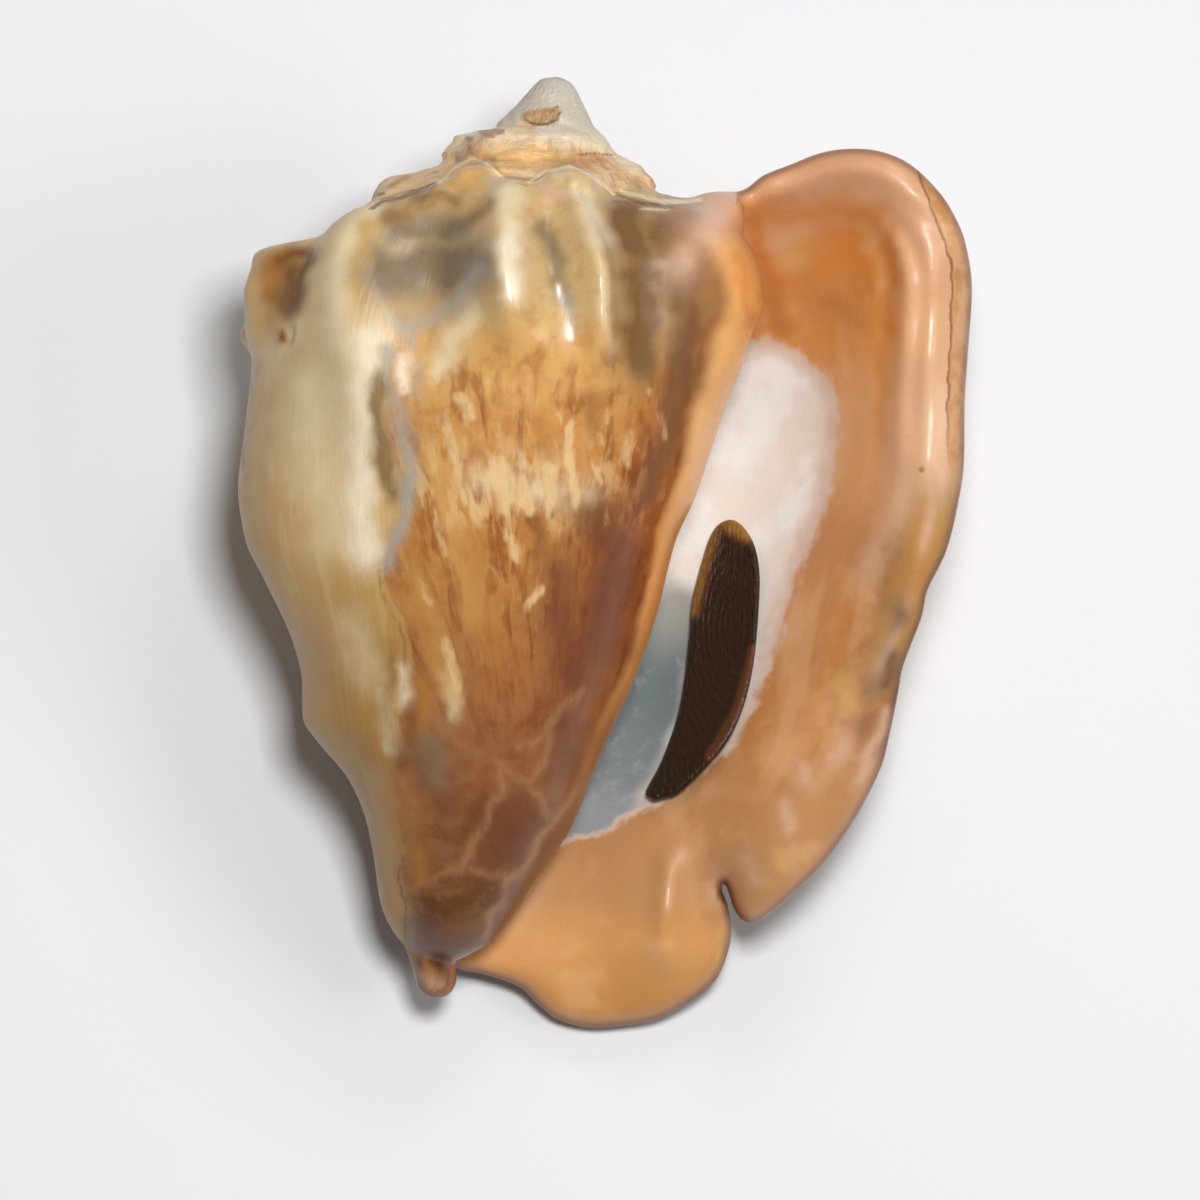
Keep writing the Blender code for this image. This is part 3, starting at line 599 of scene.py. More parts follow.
# Brush strokes by colour: points (x, y) on the drawing, half width and strength.
STROKES = {
    "tan": [
        ([(41.0, 4.5), (39.6, -1.0), (37.8, -6.5), (36.0, -13)], 3.0, 1.1),
        ([(-42.6, 36.0), (-40.0, 36.4), (-40.6, 32.0), (-42.4, 28.8)], 2.2, 0.8),
        ([(-44.8, 23), (-45.4, 8), (-43.2, -3), (-40, -12), (-38.6, -18)], 1.5, 0.7),
        ([(-38.4, -19), (-35, -25), (-31, -33), (-29.5, -42), (-26.5, -48)], 1.6, 0.95),
        ([(-29.0, -28), (-27.6, -38), (-26.2, -45)], 1.6, 0.7),
        ([(-42.5, 19), (-43.5, 7), (-41.5, -5)], 1.8, 0.5),
        ([(-18.4, 46.8), (-15.2, 46.4)], 2.2, 0.7),
        ([(-38.5, -11), (-36, -21), (-32, -31)], 2.4, 0.7),
        ([(-38.5, 25), (-41, 14)], 1.8, 0.35),
    ],
    "cream": [
        ([(-15.5, 9.4), (-8.5, 7.6), (-2, 6.8)], 2.2, 0.45),
        ([(-29.8, 42.5), (-32.6, 39), (-34, 33), (-33, 26)], 2.0, 0.9),
        ([(-37, 20), (-36.5, 10), (-34.5, 2)], 3.6, 0.6),
        ([(-32, -9), (-29.8, -15)], 2.4, 0.45),
        ([(-27.8, -17), (-27, -24)], 1.1, 0.55),
        ([(-19.6, -15), (-19, -20)], 0.9, 0.6),
        ([(-21, 22.5), (-19, 26.5), (-16, 30.5)], 1.6, 0.7),
        ([(-12.5, 45.5), (-12, 41)], 1.8, 0.8),
        ([(-3.6, 45.5), (-1.8, 42.5), (-0.8, 39)], 1.5, 0.8),
        # Painted highlight: the thin bright line along the crest of ridge 3.
        ([(-0.7, 38), (0, 29.5), (0.8, 25.5)], 0.9, 0.5),
        ([(-2.4, 51.2), (-0.8, 50.6)], 1.1, 0.6),
        ([(-19, 52), (-17, 52.6)], 1.1, 0.6),
        ([(2.3, 49.6), (3.8, 48.9)], 1, 0.8),
        ([(-28, 46.4), (-24.5, 47)], 1.1, 0.7),
        ([(-4.4, 48), (-5.8, 47.6)], 0.9, 0.7),
        ([(-25.4, -14.5), (-25.4, -18.5)], 1, 0.7),
    ],
    "pale": [
        ([(-29.6, 26), (-30, 16), (-30.6, 7), (-29.8, 0)], 2.2, 0.85),
        # Partly painted highlight: this stroke is ridge 2's cream with its highlight painted in. The next is a painted
        # highlight on a bump by the glaze margin.
        ([(-12.5, 39), (-11.8, 33)], 1.7, 1),
        ([(-25.6, 24.8), (-24.8, 20.6)], 0.8, 0.9),
    ],
    "honey": [
        ([(-21, 11), (-18.5, 2), (-16, -8)], 2.0, 0.55),
        ([(-24, -3), (-21.8, -9), (-19.6, -17)], 1.8, 0.6),
        ([(-29.6, 40.5), (-30.6, 36), (-30.4, 32)], 1.3, 0.8),
        ([(-44.2, 35), (-44.5, 31), (-43.6, 27)], 0.9, 0.8),
        ([(-26, 46.6), (-23.5, 46.9)], 1.0, 0.6),
        ([(-12.6, 49.9), (-6.5, 49.4)], 1.7, 0.8),
        ([(-14.6, 32.5), (-14.6, 27)], 1.5, 0.5),
        ([(-17.6, 47.4), (-15.9, 45.9)], 1.4, 0.7),
        ([(-16, 41.8), (-14.9, 40)], 1.4, 0.6),
        ([(-28, 7), (-28, 4.9)], 0.7, 0.5),
        ([(23.9, 38), (24.4, 36.8)], 1.8, 0.5),
        ([(30.3, -17.1), (30.7, -18.4)], 1.9, 0.6),
        ([(22, -37.5), (22.2, -38.8)], 0.9, 0.7),
        ([(13.4, -48.6), (13.9, -51.2)], 1.6, 0.85),
        ([(-6.3, -49.6), (-5.8, -51.2)], 1.3, 0.5),
        ([(41.4, 45), (42.8, 40.5)], 0.7, 0.5),
    ],
    "rust": [
        ([(40.8, 4.0), (39.4, -1.0), (37.6, -6.5), (36.0, -13), (34.6, -18)], 2.4, 0.75),
        ([(-4.2, 49.6), (-0.8, 49.0)], 1.1, 0.75),
        ([(-17.4, 50.3), (-15.0, 49.8)], 1.0, 0.5),
        ([(-26.8, 46.3), (-24.8, 47.1)], 0.6, 0.95),
        ([(-41.6, 36.6), (-41.8, 32)], 1.7, 1.0),
        ([(-41.6, 21), (-42.3, 19.4)], 1.5, 0.35),
        ([(-26.6, -10.8), (-26, -12.4)], 0.6, 0.6),
        ([(-23, -16.6), (-22.4, -22.8)], 0.9, 0.75),
        ([(-24.4, 4.3), (-22.8, -5.8), (-21, -13.4)], 2, 0.5),
        ([(-17, 1.8), (-15.9, -5.8), (-13.4, -13.4)], 2, 0.55),
        ([(-8.3, 15.6), (-7, 12.5)], 1.1, 0.6),
        ([(-25.4, -27.8), (-24, -34.8), (-23.4, -41)], 1.5, 0.55),
        ([(-28.5, -23.4), (-27, -29.7), (-25.7, -37.3)], 0.6, 0.7),
        ([(-22.8, -51.2), (-22.2, -54.3)], 0.7, 0.6),
        ([(-2, 20.7), (-0.8, 17), (0.8, 20)], 0.9, 0.4),
    ],
    "slate": [
        ([(37.0, -6.5), (36.6, -9.0)], 1.6, 0.6),
        ([(35.9, -12.5), (34.6, -16.5)], 1.8, 0.65),
        ([(-27.0, 35.0), (-22.0, 35.5), (-17.5, 36.0)], 4.2, 1.15),
        ([(-26.0, 40.2), (-18.0, 40.6)], 2.4, 1.0),
        ([(-7.6, 40.5), (-6.2, 36), (-5.2, 32)], 1.4, 0.85),
        ([(-22.2, -24), (-21.4, -27.8)], 1.9, 0.75),
        ([(-25, -46.4), (-24.4, -48)], 0.9, 0.6),
    ],
    "umber": [
        ([(2.4, 42), (4.4, 36), (4.6, 30), (4.2, 24)], 3.0, 1.15),
        ([(6.5, 40.5), (8.5, 35), (9.5, 29), (9.3, 22)], 3.0, 0.9),
        ([(9.3, 20), (7.6, 13), (5, 8)], 1.6, 0.6),
        ([(-14.3, 44), (-16.5, 42)], 1.1, 0.6),
        ([(-24, 44.6), (-20.5, 45.2)], 0.9, 0.7),
        ([(-39.4, 35.0), (-39.8, 31.8)], 1.7, 1.0),
    ],
    "blue": [
        ([(-25.5, 28.4), (-21.5, 29.0), (-18.3, 31.5), (-16.0, 35.0)], 1.4, 0.7),
        ([(-27.2, 25.5), (-27.2, 21), (-25.9, 18), (-25.0, 14.5)], 0.8, 0.8),
        ([(-25.0, 14.5), (-24.6, 10.6), (-24.7, 6.2)], 1.15, 1.0),
        ([(-24.7, 6.2), (-26, 1.8), (-27.3, -1)], 0.9, 0.9),
        ([(-24.4, 26.3), (-23.4, 27.6)], 0.75, 0.6),
        ([(-23.5, 24), (-23.3, 17)], 0.6, 0.5),
        # Painted highlight: a bluish reflection in valley 2.
        ([(-5, 32), (-4.3, 27.6)], 0.9, 0.5),
    ],
    "olive": [
        ([(-28.4, 21.5), (-28.4, 15.5), (-27.7, 11.4), (-26.6, 7.5)], 1.2, 1.1),
        ([(-32.9, -18.4), (-32.3, -23.4)], 1.2, 0.25),
    ],
    "plum": [
        ([(-40.8, 27.7), (-40.6, 27)], 0.65, 0.9),
        ([(-1.5, 4.5), (1, 0.8), (-0.3, -5.8), (-0.8, -12)], 3.1, 0.9),
        ([(-5.5, -2), (-5.8, -8.3), (-3.3, -15.9)], 3.0, 0.75),
        ([(11.6, 37.5), (10.6, 28.2), (9.1, 20.7), (7.0, 13.7), (5.0, 7.4)], 0.8, 0.5),
        ([(-2, 19.4), (-1.5, 15)], 1, 0.4),
        ([(-8.6, 3.7), (-7.7, -0.2)], 1.1, 0.5),
        ([(-11.2, -32.9), (-11.5, -36)], 2.9, 0.8),
        ([(-4.5, -21.5), (-5.5, -27.2)], 2.1, 0.75),
        ([(-20.9, -31), (-20.2, -32.5)], 1.2, 0.5),
        ([(-20.9, -47.4), (-15.9, -48.6)], 2.2, 0.6),
        ([(-9.3, -41), (-13.4, -46.8)], 0.9, 0.5),
        ([(36.8, -7.3), (37, -8.6)], 0.9, 0.6),
        ([(35.7, -12.7), (35.3, -15.9)], 1, 0.75),
    ],
    "rose": [
        ([(-11.1, 51.3), (-8.9, 51.7), (-7, 51.3)], 0.2, 0.8),
        ([(-7.2, 45), (-5.8, 44.6)], 1.2, 0.6),
        ([(-44.7, 27.6), (-44.9, 23.2)], 0.4, 0.6),
        # Partly painted highlight: the pinkish callus with its highlight along the diagonal painted in.
        ([(9.5, 36.0), (12.5, 40.0), (15, 43.6)], 2.2, 0.6),
        ([(24.7, -27.2), (25, -28.7)], 1, 0.6),
        ([(22.7, -32), (22.8, -34.1)], 1, 0.6),
        ([(32.8, -0.1), (33.3, -2)], 1.2, 0.4),
        ([(36.4, 15.6), (37, 4.3)], 1.5, 0.35),
        ([(-5.8, -58.7), (-0.8, -59.5), (5.5, -58.5), (10.6, -56.2)], 0.5, 0.5),
        # Painted highlight: a small bright spot on the canal.
        ([(6.2, -50.5), (6.3, -51.4)], 1.2, 0.5),
        ([(17.9, -38.6), (18.4, -41)], 1, 0.4),
        ([(35.2, -20.3), (33.5, -25), (32, -28.5)], 0.9, 0.7),
        ([(-23.4, -53), (-21, -55)], 1, 0.5),
    ],
    "orange": [
        ([(-0.8, -51.4), (2, -52.2)], 2.3, 0.8),
        ([(16.3, 36.8), (17.6, 33), (17.9, 28.9)], 1.1, 0.8),
        ([(-5.8, -53.7), (-3.3, -53)], 1.2, 0.5),
    ],
    "deep": [
        # Deep orange of the lip. The first four strokes lay it as painted shade: along the groove beside the column's
        # edge, under the top roll of the lip and in the fold inside the rim. The others are colour only.
        ([(18.6, 42), (19.4, 38), (21, 33.5), (21.8, 29)], 1.9, 1.0),
        ([(18, 43.0), (23.2, 42.8), (29.5, 43.2), (33.5, 42.3)], 2.2, 0.8),
        ([(35.5, 41.3), (36, 38.3), (35.7, 33.3), (35.3, 28.2)], 1.1, 0.7),
        ([(35, 27.6), (34.6, 20.7), (34.8, 14.4)], 0.8, 0.4),
        ([(26, 33), (30.5, 31)], 2.6, 0.6),
        ([(29.7, -7), (30.2, -10.8)], 1.6, 0.5),
        ([(25.2, -0.6), (23.8, -4.5), (22.3, -9), (21.2, -14.4), (19.2, -18.4)], 0.33, 0.6),
        ([(16.8, -23.9), (18.4, -21.2), (19.4, -19)], 0.5, 0.4),
    ],
    "brown": [
        ([(-40.6, 37.2), (-37.4, 37.4)], 1.2, 0.9),
        ([(-36.9, 36.8), (-38.2, 34), (-39.4, 30.5)], 1.0, 0.8),
        ([(-23, 43.1), (-21, 44.2), (-19, 43.7)], 0.9, 0.55),
        ([(-27.7, 41.8), (-24.7, 42.5)], 0.9, 0.55),
        ([(3.9, 47.1), (4.5, 45.9)], 0.6, 0.5),
        ([(-18.6, -46.1), (-15.9, -46.7)], 2, 0.6),
        ([(-4.3, 6.8), (-0.8, 4.3), (3, 6.8)], 1, 0.4),
        ([(-8.9, 4.3), (-8.7, -0.8)], 0.6, 0.6),
        ([(8.8, 20), (7.8, 14.4)], 0.9, 0.6),
        ([(-26.6, -13), (-27.6, -20), (-25.6, -26)], 0.8, 0.45),
        ([(-24.5, -19), (-24, -24)], 0.7, 0.5),
        ([(11.8, -36.7), (12.9, -40.4), (14.1, -43.3)], 0.75, 0.6),
    ],
    "net": [
        ([(-11.2, -24), (-7.5, -23), (-6, -19.3), (-2.6, -17.3)], 0.5, 0.6),
        ([(-12.7, -26.8), (-9.5, -28.4), (-8.5, -30.2), (-7.2, -33)], 0.5, 0.55),
        ([(-6, -19.5), (-6.7, -22.6), (-8, -26.2), (-9.4, -28.4)], 0.5, 0.55),
        ([(-12.9, -26.5), (-13.1, -29.1), (-15.6, -34.4), (-18.6, -39.7), (-21.5, -40.8)], 0.5, 0.6),
        ([(-3.3, -29.4), (-6.4, -33), (-10.6, -39.7), (-12.7, -42.3), (-15.4, -47.8)], 0.55, 0.65),
        ([(-17, -39.5), (-14.9, -40.4), (-12.5, -40.8)], 0.45, 0.5),
        ([(-22, -20), (-17.5, -24.5), (-12.7, -26.8)], 0.55, 0.4),
    ],
    "stain": [
        ([(-9.6, 54.8), (-6.6, 55.1)], 0.95, 1.1),
        ([(-15.5, 52.9), (-13.2, 53.0)], 0.45, 1.1),
        ([(-15.0, 52.5), (-14.2, 52.4)], 0.4, 1.0),
        ([(-17.4, 52), (-17.1, 51.9)], 0.4, 1.0),
        ([(39.7, 10.8), (39.8, 10.7)], 0.35, 1.0),
    ],
    "spot": [
        ([(-18, 19.4), (-17, 17.2)], 1, 0.85),
        ([(-14.9, 21.5), (-14.5, 21.3)], 0.45, 0.6),
        ([(-20.5, 17), (-18.8, 12.6), (-18.4, 9), (-15.6, 4)], 0.9, 0.65),
        ([(-13.5, 11.5), (-12.8, 6)], 1.1, 0.9),
        ([(-10.9, 12.8), (-9.5, 10.5)], 0.5, 0.7),
        ([(-7, 10.5), (-6.7, 6)], 1, 0.9),
        ([(-11, 8.8), (-9.6, 5.5)], 1.1, 0.8),
        ([(-4.6, 16.4), (-4.6, 12), (-3.6, 6)], 0.6, 0.9),
        ([(-6, 17.5), (-5.7, 17)], 0.4, 0.6),
        ([(-0.8, 14.9), (-0.8, 13.5)], 0.45, 0.6),
        ([(0.2, 18), (0.2, 16.3)], 0.4, 0.6),
        ([(3.1, 15), (2.7, 11)], 0.65, 0.65),
        ([(5.4, 20.5), (6.4, 18.7), (7, 16.8), (7.2, 14.6)], 0.6, 0.5),
        ([(-1.4, 11.2), (-0.7, 8.8)], 0.5, 0.7),
        ([(1, 10), (1.5, 8)], 0.7, 0.5),
        ([(-0.4, 6.3), (0.2, 3.6)], 0.4, 0.5),
        ([(-12, 2), (-11, -0.7)], 0.75, 0.8),
        ([(-9.8, -6.6), (-8.2, -4.2)], 0.6, 0.85),
        ([(-14.6, -1), (-13.3, -3.2)], 0.5, 0.45),
        ([(-20.8, 2.4), (-20, -0.2)], 0.55, 0.6),
        ([(-23.2, -3.6), (-21.8, -6.5)], 0.6, 0.6),
        ([(-20.2, -11), (-19.2, -13.6), (-18.3, -17)], 0.8, 0.75),
        ([(-16.1, -11.5), (-15.4, -13.6)], 0.5, 0.45),
        ([(-11.8, 53.2), (-9.6, 53.4)], 1, 0.7),
    ],
    "line": [
        ([(-21.3, 46.2), (-19, 48.2), (-16.9, 49.5), (-14.6, 48.4), (-12.9, 46.9)], 0.22, 0.8),
        ([(-9.6, 46.3), (-7.2, 47.8), (-4.4, 48.5), (-2, 47.5), (0.9, 45)], 0.25, 0.9),
        ([(1.8, 45.6), (5.5, 44.3), (9.3, 44.2), (11.8, 44.4)], 0.35, 0.9),
        ([(4.3, 43), (7.8, 43.2)], 0.22, 0.7),
    ],
    "crack_and_shadow": [
        ([(-10.2, 54.6), (-9, 53.9), (-7.3, 53.8), (-6, 54.4), (-5.7, 55.5), (-6.2, 56.1)], 0.22, 0.9),
        ([(-7.6, 54.7), (-6.6, 55.6)], 0.2, 0.7),
        # Painted shadow: this stroke and the next two lie along the lapping edges, in their shade.
        ([(-29.5, 43.1), (-27.7, 44), (-25.7, 44.4), (-23.4, 45.4), (-21.4, 46.2)], 0.35, 0.9),
        ([(-28.5, 44.9), (-27.7, 45)], 0.3, 0.8),
        ([(1.1, 44), (4.3, 43.7), (8.3, 43.5)], 0.28, 0.85),
        ([(-27.3, -0.5), (-28.3, -2.6), (-28, -5.3), (-26.5, -7.8), (-25.2, -10.8), (-25.2, -13.6)], 0.34, 0.55),
        ([(-25.6, -38.3), (-26, -41), (-25.3, -44.2), (-25.4, -50)], 0.2, 0.9),
        ([(-45.9, 26.3), (-45.6, 19.4), (-45.7, 10.6)], 0.33, 0.6),
        # Painted shade: a dark mark in the notch.
        ([(14.6, -42.6), (14.9, -44.2)], 0.3, 0.9),
        ([(-4, 50.1), (1.1, 50.1)], 0.18, 0.8),
    ],
    "chill": [
        # Painted shade: blue-grey in the throat along the column's edge, in its lower half.
        ([(8.0, -8), (6.5, -14), (4.5, -21), (0.8, -29), (-3, -35)], 5.0, 1.1),
    ],
}


def stroke_field(x, y, strokes, crisp=False):
    """The strokes' strength in their middle, fading out around their half width."""
    best = np.zeros_like(x)
    for path, width, strength in strokes:
        for (x0, y0), (x1, y1) in zip(path, path[1:]):
            run = x1 - x0
            rise = y1 - y0
            t = np.clip(((x - x0) * run + (y - y0) * rise) / (run * run + rise * rise), 0, 1)
            away = np.hypot(x - x0 - t * run, y - y0 - t * rise)
            best = np.maximum(best, strength * (np.clip(1.5 - away / width, 0, 1) if crisp else np.exp(-((away / width) ** 2))))
    return best


def sway(x, y, size):
    """Places moved about a little, so that strokes don't look ruled."""
    moved_x = np.sin(0.9 * y + 0.5 * x + 1.4 * np.sin(0.45 * x)) + 0.5 * np.sin(1.9 * y - 0.8 * x)
    moved_y = np.sin(0.8 * x - 0.4 * y + 1.3 * np.sin(0.50 * y)) + 0.5 * np.sin(1.7 * x + 0.9 * y)
    return x + size * moved_x, y + size * moved_y


CRISP = ("stain", "spot", "line", "crack_and_shadow")


def mark(item, name, values):
    """Keeps one number, or one place, for each point of the mesh."""
    kind = "FLOAT" if values.ndim == 1 else "FLOAT_VECTOR"
    layer = item.data.attributes.new(name, kind, "POINT")
    layer.data.foreach_set("value" if values.ndim == 1 else "vector", values.astype(np.float32).ravel())


def mark_shell(item):
    """The places and brush strokes that the shell's material reads."""
    points = mesh_points(item)
    x, y, z = points.T
    down_axis = along_axis(x, y)
    height = z - axis_height(down_axis)
    sideways = across_axis(x, y)
    angle = np.arctan2(height, sideways)
    floor, upright = wall_place(x, y)
    above = (z - floor) * upright
    rim = -distance_to_outline(x, y, LIP_EDGE)

    inner = above + HALF_WALL
    beneath = np.minimum(-height, sideways - hollow_left(down_axis))
    cavity = np.minimum(inner, np.maximum(x - column_edge(y), beneath))
    front = np.clip(height / 3.0 + 0.5, 0, 1)
    glaze = np.where(height > -2.0, x - glaze_left(y), -3.0)

    fan = (x + 9.0) * 60.0 / np.maximum(y + 50.0, 15.0)
    mark(item, "place", points)
    mark(item, "coil", np.stack([26.0 * np.cos(angle), 26.0 * np.sin(angle), down_axis], axis=1))
    mark(item, "fan", np.stack([fan, np.full_like(fan, 90.0), down_axis], axis=1))
    mark(item, "fanned", np.clip(glaze * 2, 0, 1) * np.clip((31.0 - y) / 8.0, 0, 1))
    mark(item, "up", y)
    mark(item, "down", down_axis)
    turned = np.degrees(angle) % 360.0
    mark(item, "lapped", np.where(sideways < 15.0, down_axis - lap_line(turned), 9.0))
    mark(item, "front", front)
    mark(item, "cavity", cavity)
    mark(item, "glaze", glaze)
    mark(item, "rim", rim)
    mark(item, "ribbon", np.stack([rim, y, np.zeros_like(y)], axis=1))
    mark(item, "band", column_edge(y) - x)
    mark(item, "white", -distance_to_outline(x, y, rounded_outline(WHITE_OUTLINE)))
    mark(item, "seam", x - lip_seam(y))
    for tint, strokes in STROKES.items():
        swayed_x, swayed_y = sway(x, y, 0.12 if tint in CRISP else 0.3)
        seen = np.clip(cavity * 5, 0, 1) if tint == "chill" else np.clip(height + 3.0, 0, 1)
        seen = np.where(x > 14.0, np.clip(inner + 0.5, 0, 1), seen)
        mark(item, tint, stroke_field(swayed_x, swayed_y, strokes, tint in CRISP) * seen)


# ---------------------------------------------------------------- materials
class Shading:
    """A material and short ways to add its nodes."""

    def __init__(self, name):
        self.material = bpy.data.materials.new(name)
        self.material.use_nodes = True
        self.tree = self.material.node_tree
        self.surface = self.tree.nodes["Principled BSDF"]

    def feed(self, socket, value):
        if isinstance(value, bpy.types.NodeSocket):
            self.tree.links.new(value, socket)
        elif isinstance(value, tuple) and socket.type == "RGBA":
            socket.default_value = (*value, 1.0)
        else:
            socket.default_value = value

    def read(self, name, output="Fac"):
        node = self.tree.nodes.new("ShaderNodeAttribute")
        node.attribute_name = name
        return node.outputs[output]

    def sum(self, operation, first, second=0.0):
        node = self.tree.nodes.new("ShaderNodeMath")
        node.operation = operation
        self.feed(node.inputs[0], first)
        self.feed(node.inputs[1], second)
        return node.outputs[0]

    def add(self, first, second):
        return self.sum("ADD", first, second)

    def times(self, first, second):
        return self.sum("MULTIPLY", first, second)

    def step(self, value, low, high, start=0.0, end=1.0):
        """A smooth step from start to end while the value goes from low to high."""
        node = self.tree.nodes.new("ShaderNodeMapRange")
        node.interpolation_type = "SMOOTHSTEP"
        for socket, number in zip(node.inputs, (value, low, high, start, end)):
            self.feed(socket, number)
        return node.outputs[0]

    def noise(self, place, stretch, detail=3.0, roughness=0.55, warp=0.0):
        """Noise from 0 to 1 with so many turns a millimetre along each axis of the place."""
        scaled = self.tree.nodes.new("ShaderNodeVectorMath")
        scaled.operation = "MULTIPLY"
        self.feed(scaled.inputs[0], place)
        scaled.inputs[1].default_value = stretch
        node = self.tree.nodes.new("ShaderNodeTexNoise")
        node.inputs["Scale"].default_value = 1.0
        node.inputs["Detail"].default_value = detail
        node.inputs["Roughness"].default_value = roughness
        node.inputs["Distortion"].default_value = warp
        self.feed(node.inputs["Vector"], scaled.outputs[0])
        return node.outputs[0]

    def growth_noise(self, stretch, detail, roughness, warp):
        """Noise along the growth lines: round the axis, but fanned out over the front glaze."""
        round_axis = self.noise(self.read("coil", "Vector"), stretch, detail, roughness, warp)
        fanned = self.noise(self.read("fan", "Vector"), stretch, detail, roughness, warp)
        node = self.tree.nodes.new("ShaderNodeMix")
        for socket, value in zip(node.inputs, (self.read("fanned"), None, round_axis, fanned)):
            if value is not None:
                self.feed(socket, value)
        return node.outputs[0]

    def over(self, under, colour, share):
        """The colour laid over what is under it."""
        node = self.tree.nodes.new("ShaderNodeMix")
        node.data_type = "RGBA"
        node.clamp_factor = True
        self.feed(node.inputs[0], share)
        self.feed(node.inputs[6], under)
        self.feed(node.inputs[7], colour)
        return node.outputs[2]

    def deepen(self, colour, share, shade):
        """The colour multiplied towards a shade of it."""
        node = self.tree.nodes.new("ShaderNodeMix")
        node.data_type = "RGBA"
        node.blend_type = "MULTIPLY"
        self.feed(node.inputs[0], share)
        self.feed(node.inputs[6], colour)
        self.feed(node.inputs[7], shade)
        return node.outputs[2]

    def ramp(self, value, low, high, stops):
        """Colours along a value, as (value, colour) pairs."""
        spread = self.tree.nodes.new("ShaderNodeMapRange")
        for socket, number in zip(spread.inputs, (value, low, high, 0.0, 1.0)):
            self.feed(socket, number)
        node = self.tree.nodes.new("ShaderNodeValToRGB")
        node.color_ramp.interpolation = "EASE"
        places = node.color_ramp.elements
        while len(places) < len(stops):
            places.new(0.5)
        for stop, (at, colour) in zip(places, stops):
            stop.position = (at - low) / (high - low)
            stop.color = (*colour, 1.0)
        self.feed(node.inputs[0], spread.outputs[0])
        return node.outputs[0]

    def bump(self, height, distance, strength=1.0, under=None):
        node = self.tree.nodes.new("ShaderNodeBump")
        node.inputs["Distance"].default_value = distance
        node.inputs["Strength"].default_value = strength
        self.feed(node.inputs["Height"], height)
        if under is not None:
            self.feed(node.inputs["Normal"], under)
        return node.outputs[0]


# Colours of the brush strokes, in the order they are laid.
TINTS = {
    "tan": (0.43, 0.25, 0.085),
    "cream": (0.78, 0.64, 0.40),
    "pale": (0.90, 0.78, 0.58),
    "honey": (0.64, 0.38, 0.12),
    "rust": (0.44, 0.18, 0.035),
    "slate": (0.21, 0.15, 0.085),
    "umber": (0.17, 0.078, 0.018),
    "blue": (0.37, 0.33, 0.27),
    "olive": (0.26, 0.165, 0.065),
    "plum": (0.17, 0.053, 0.022),
    "rose": (0.70, 0.42, 0.28),
    "orange": (0.80, 0.33, 0.09),
    "deep": (0.56, 0.20, 0.045),
    "brown": (0.20, 0.08, 0.018),
    "net": (0.40, 0.19, 0.085),
    "stain": (0.38, 0.185, 0.055),
    "spot": (0.72, 0.48, 0.23),
    "line": (0.76, 0.62, 0.38),
    "crack_and_shadow": (0.17, 0.08, 0.03),
}


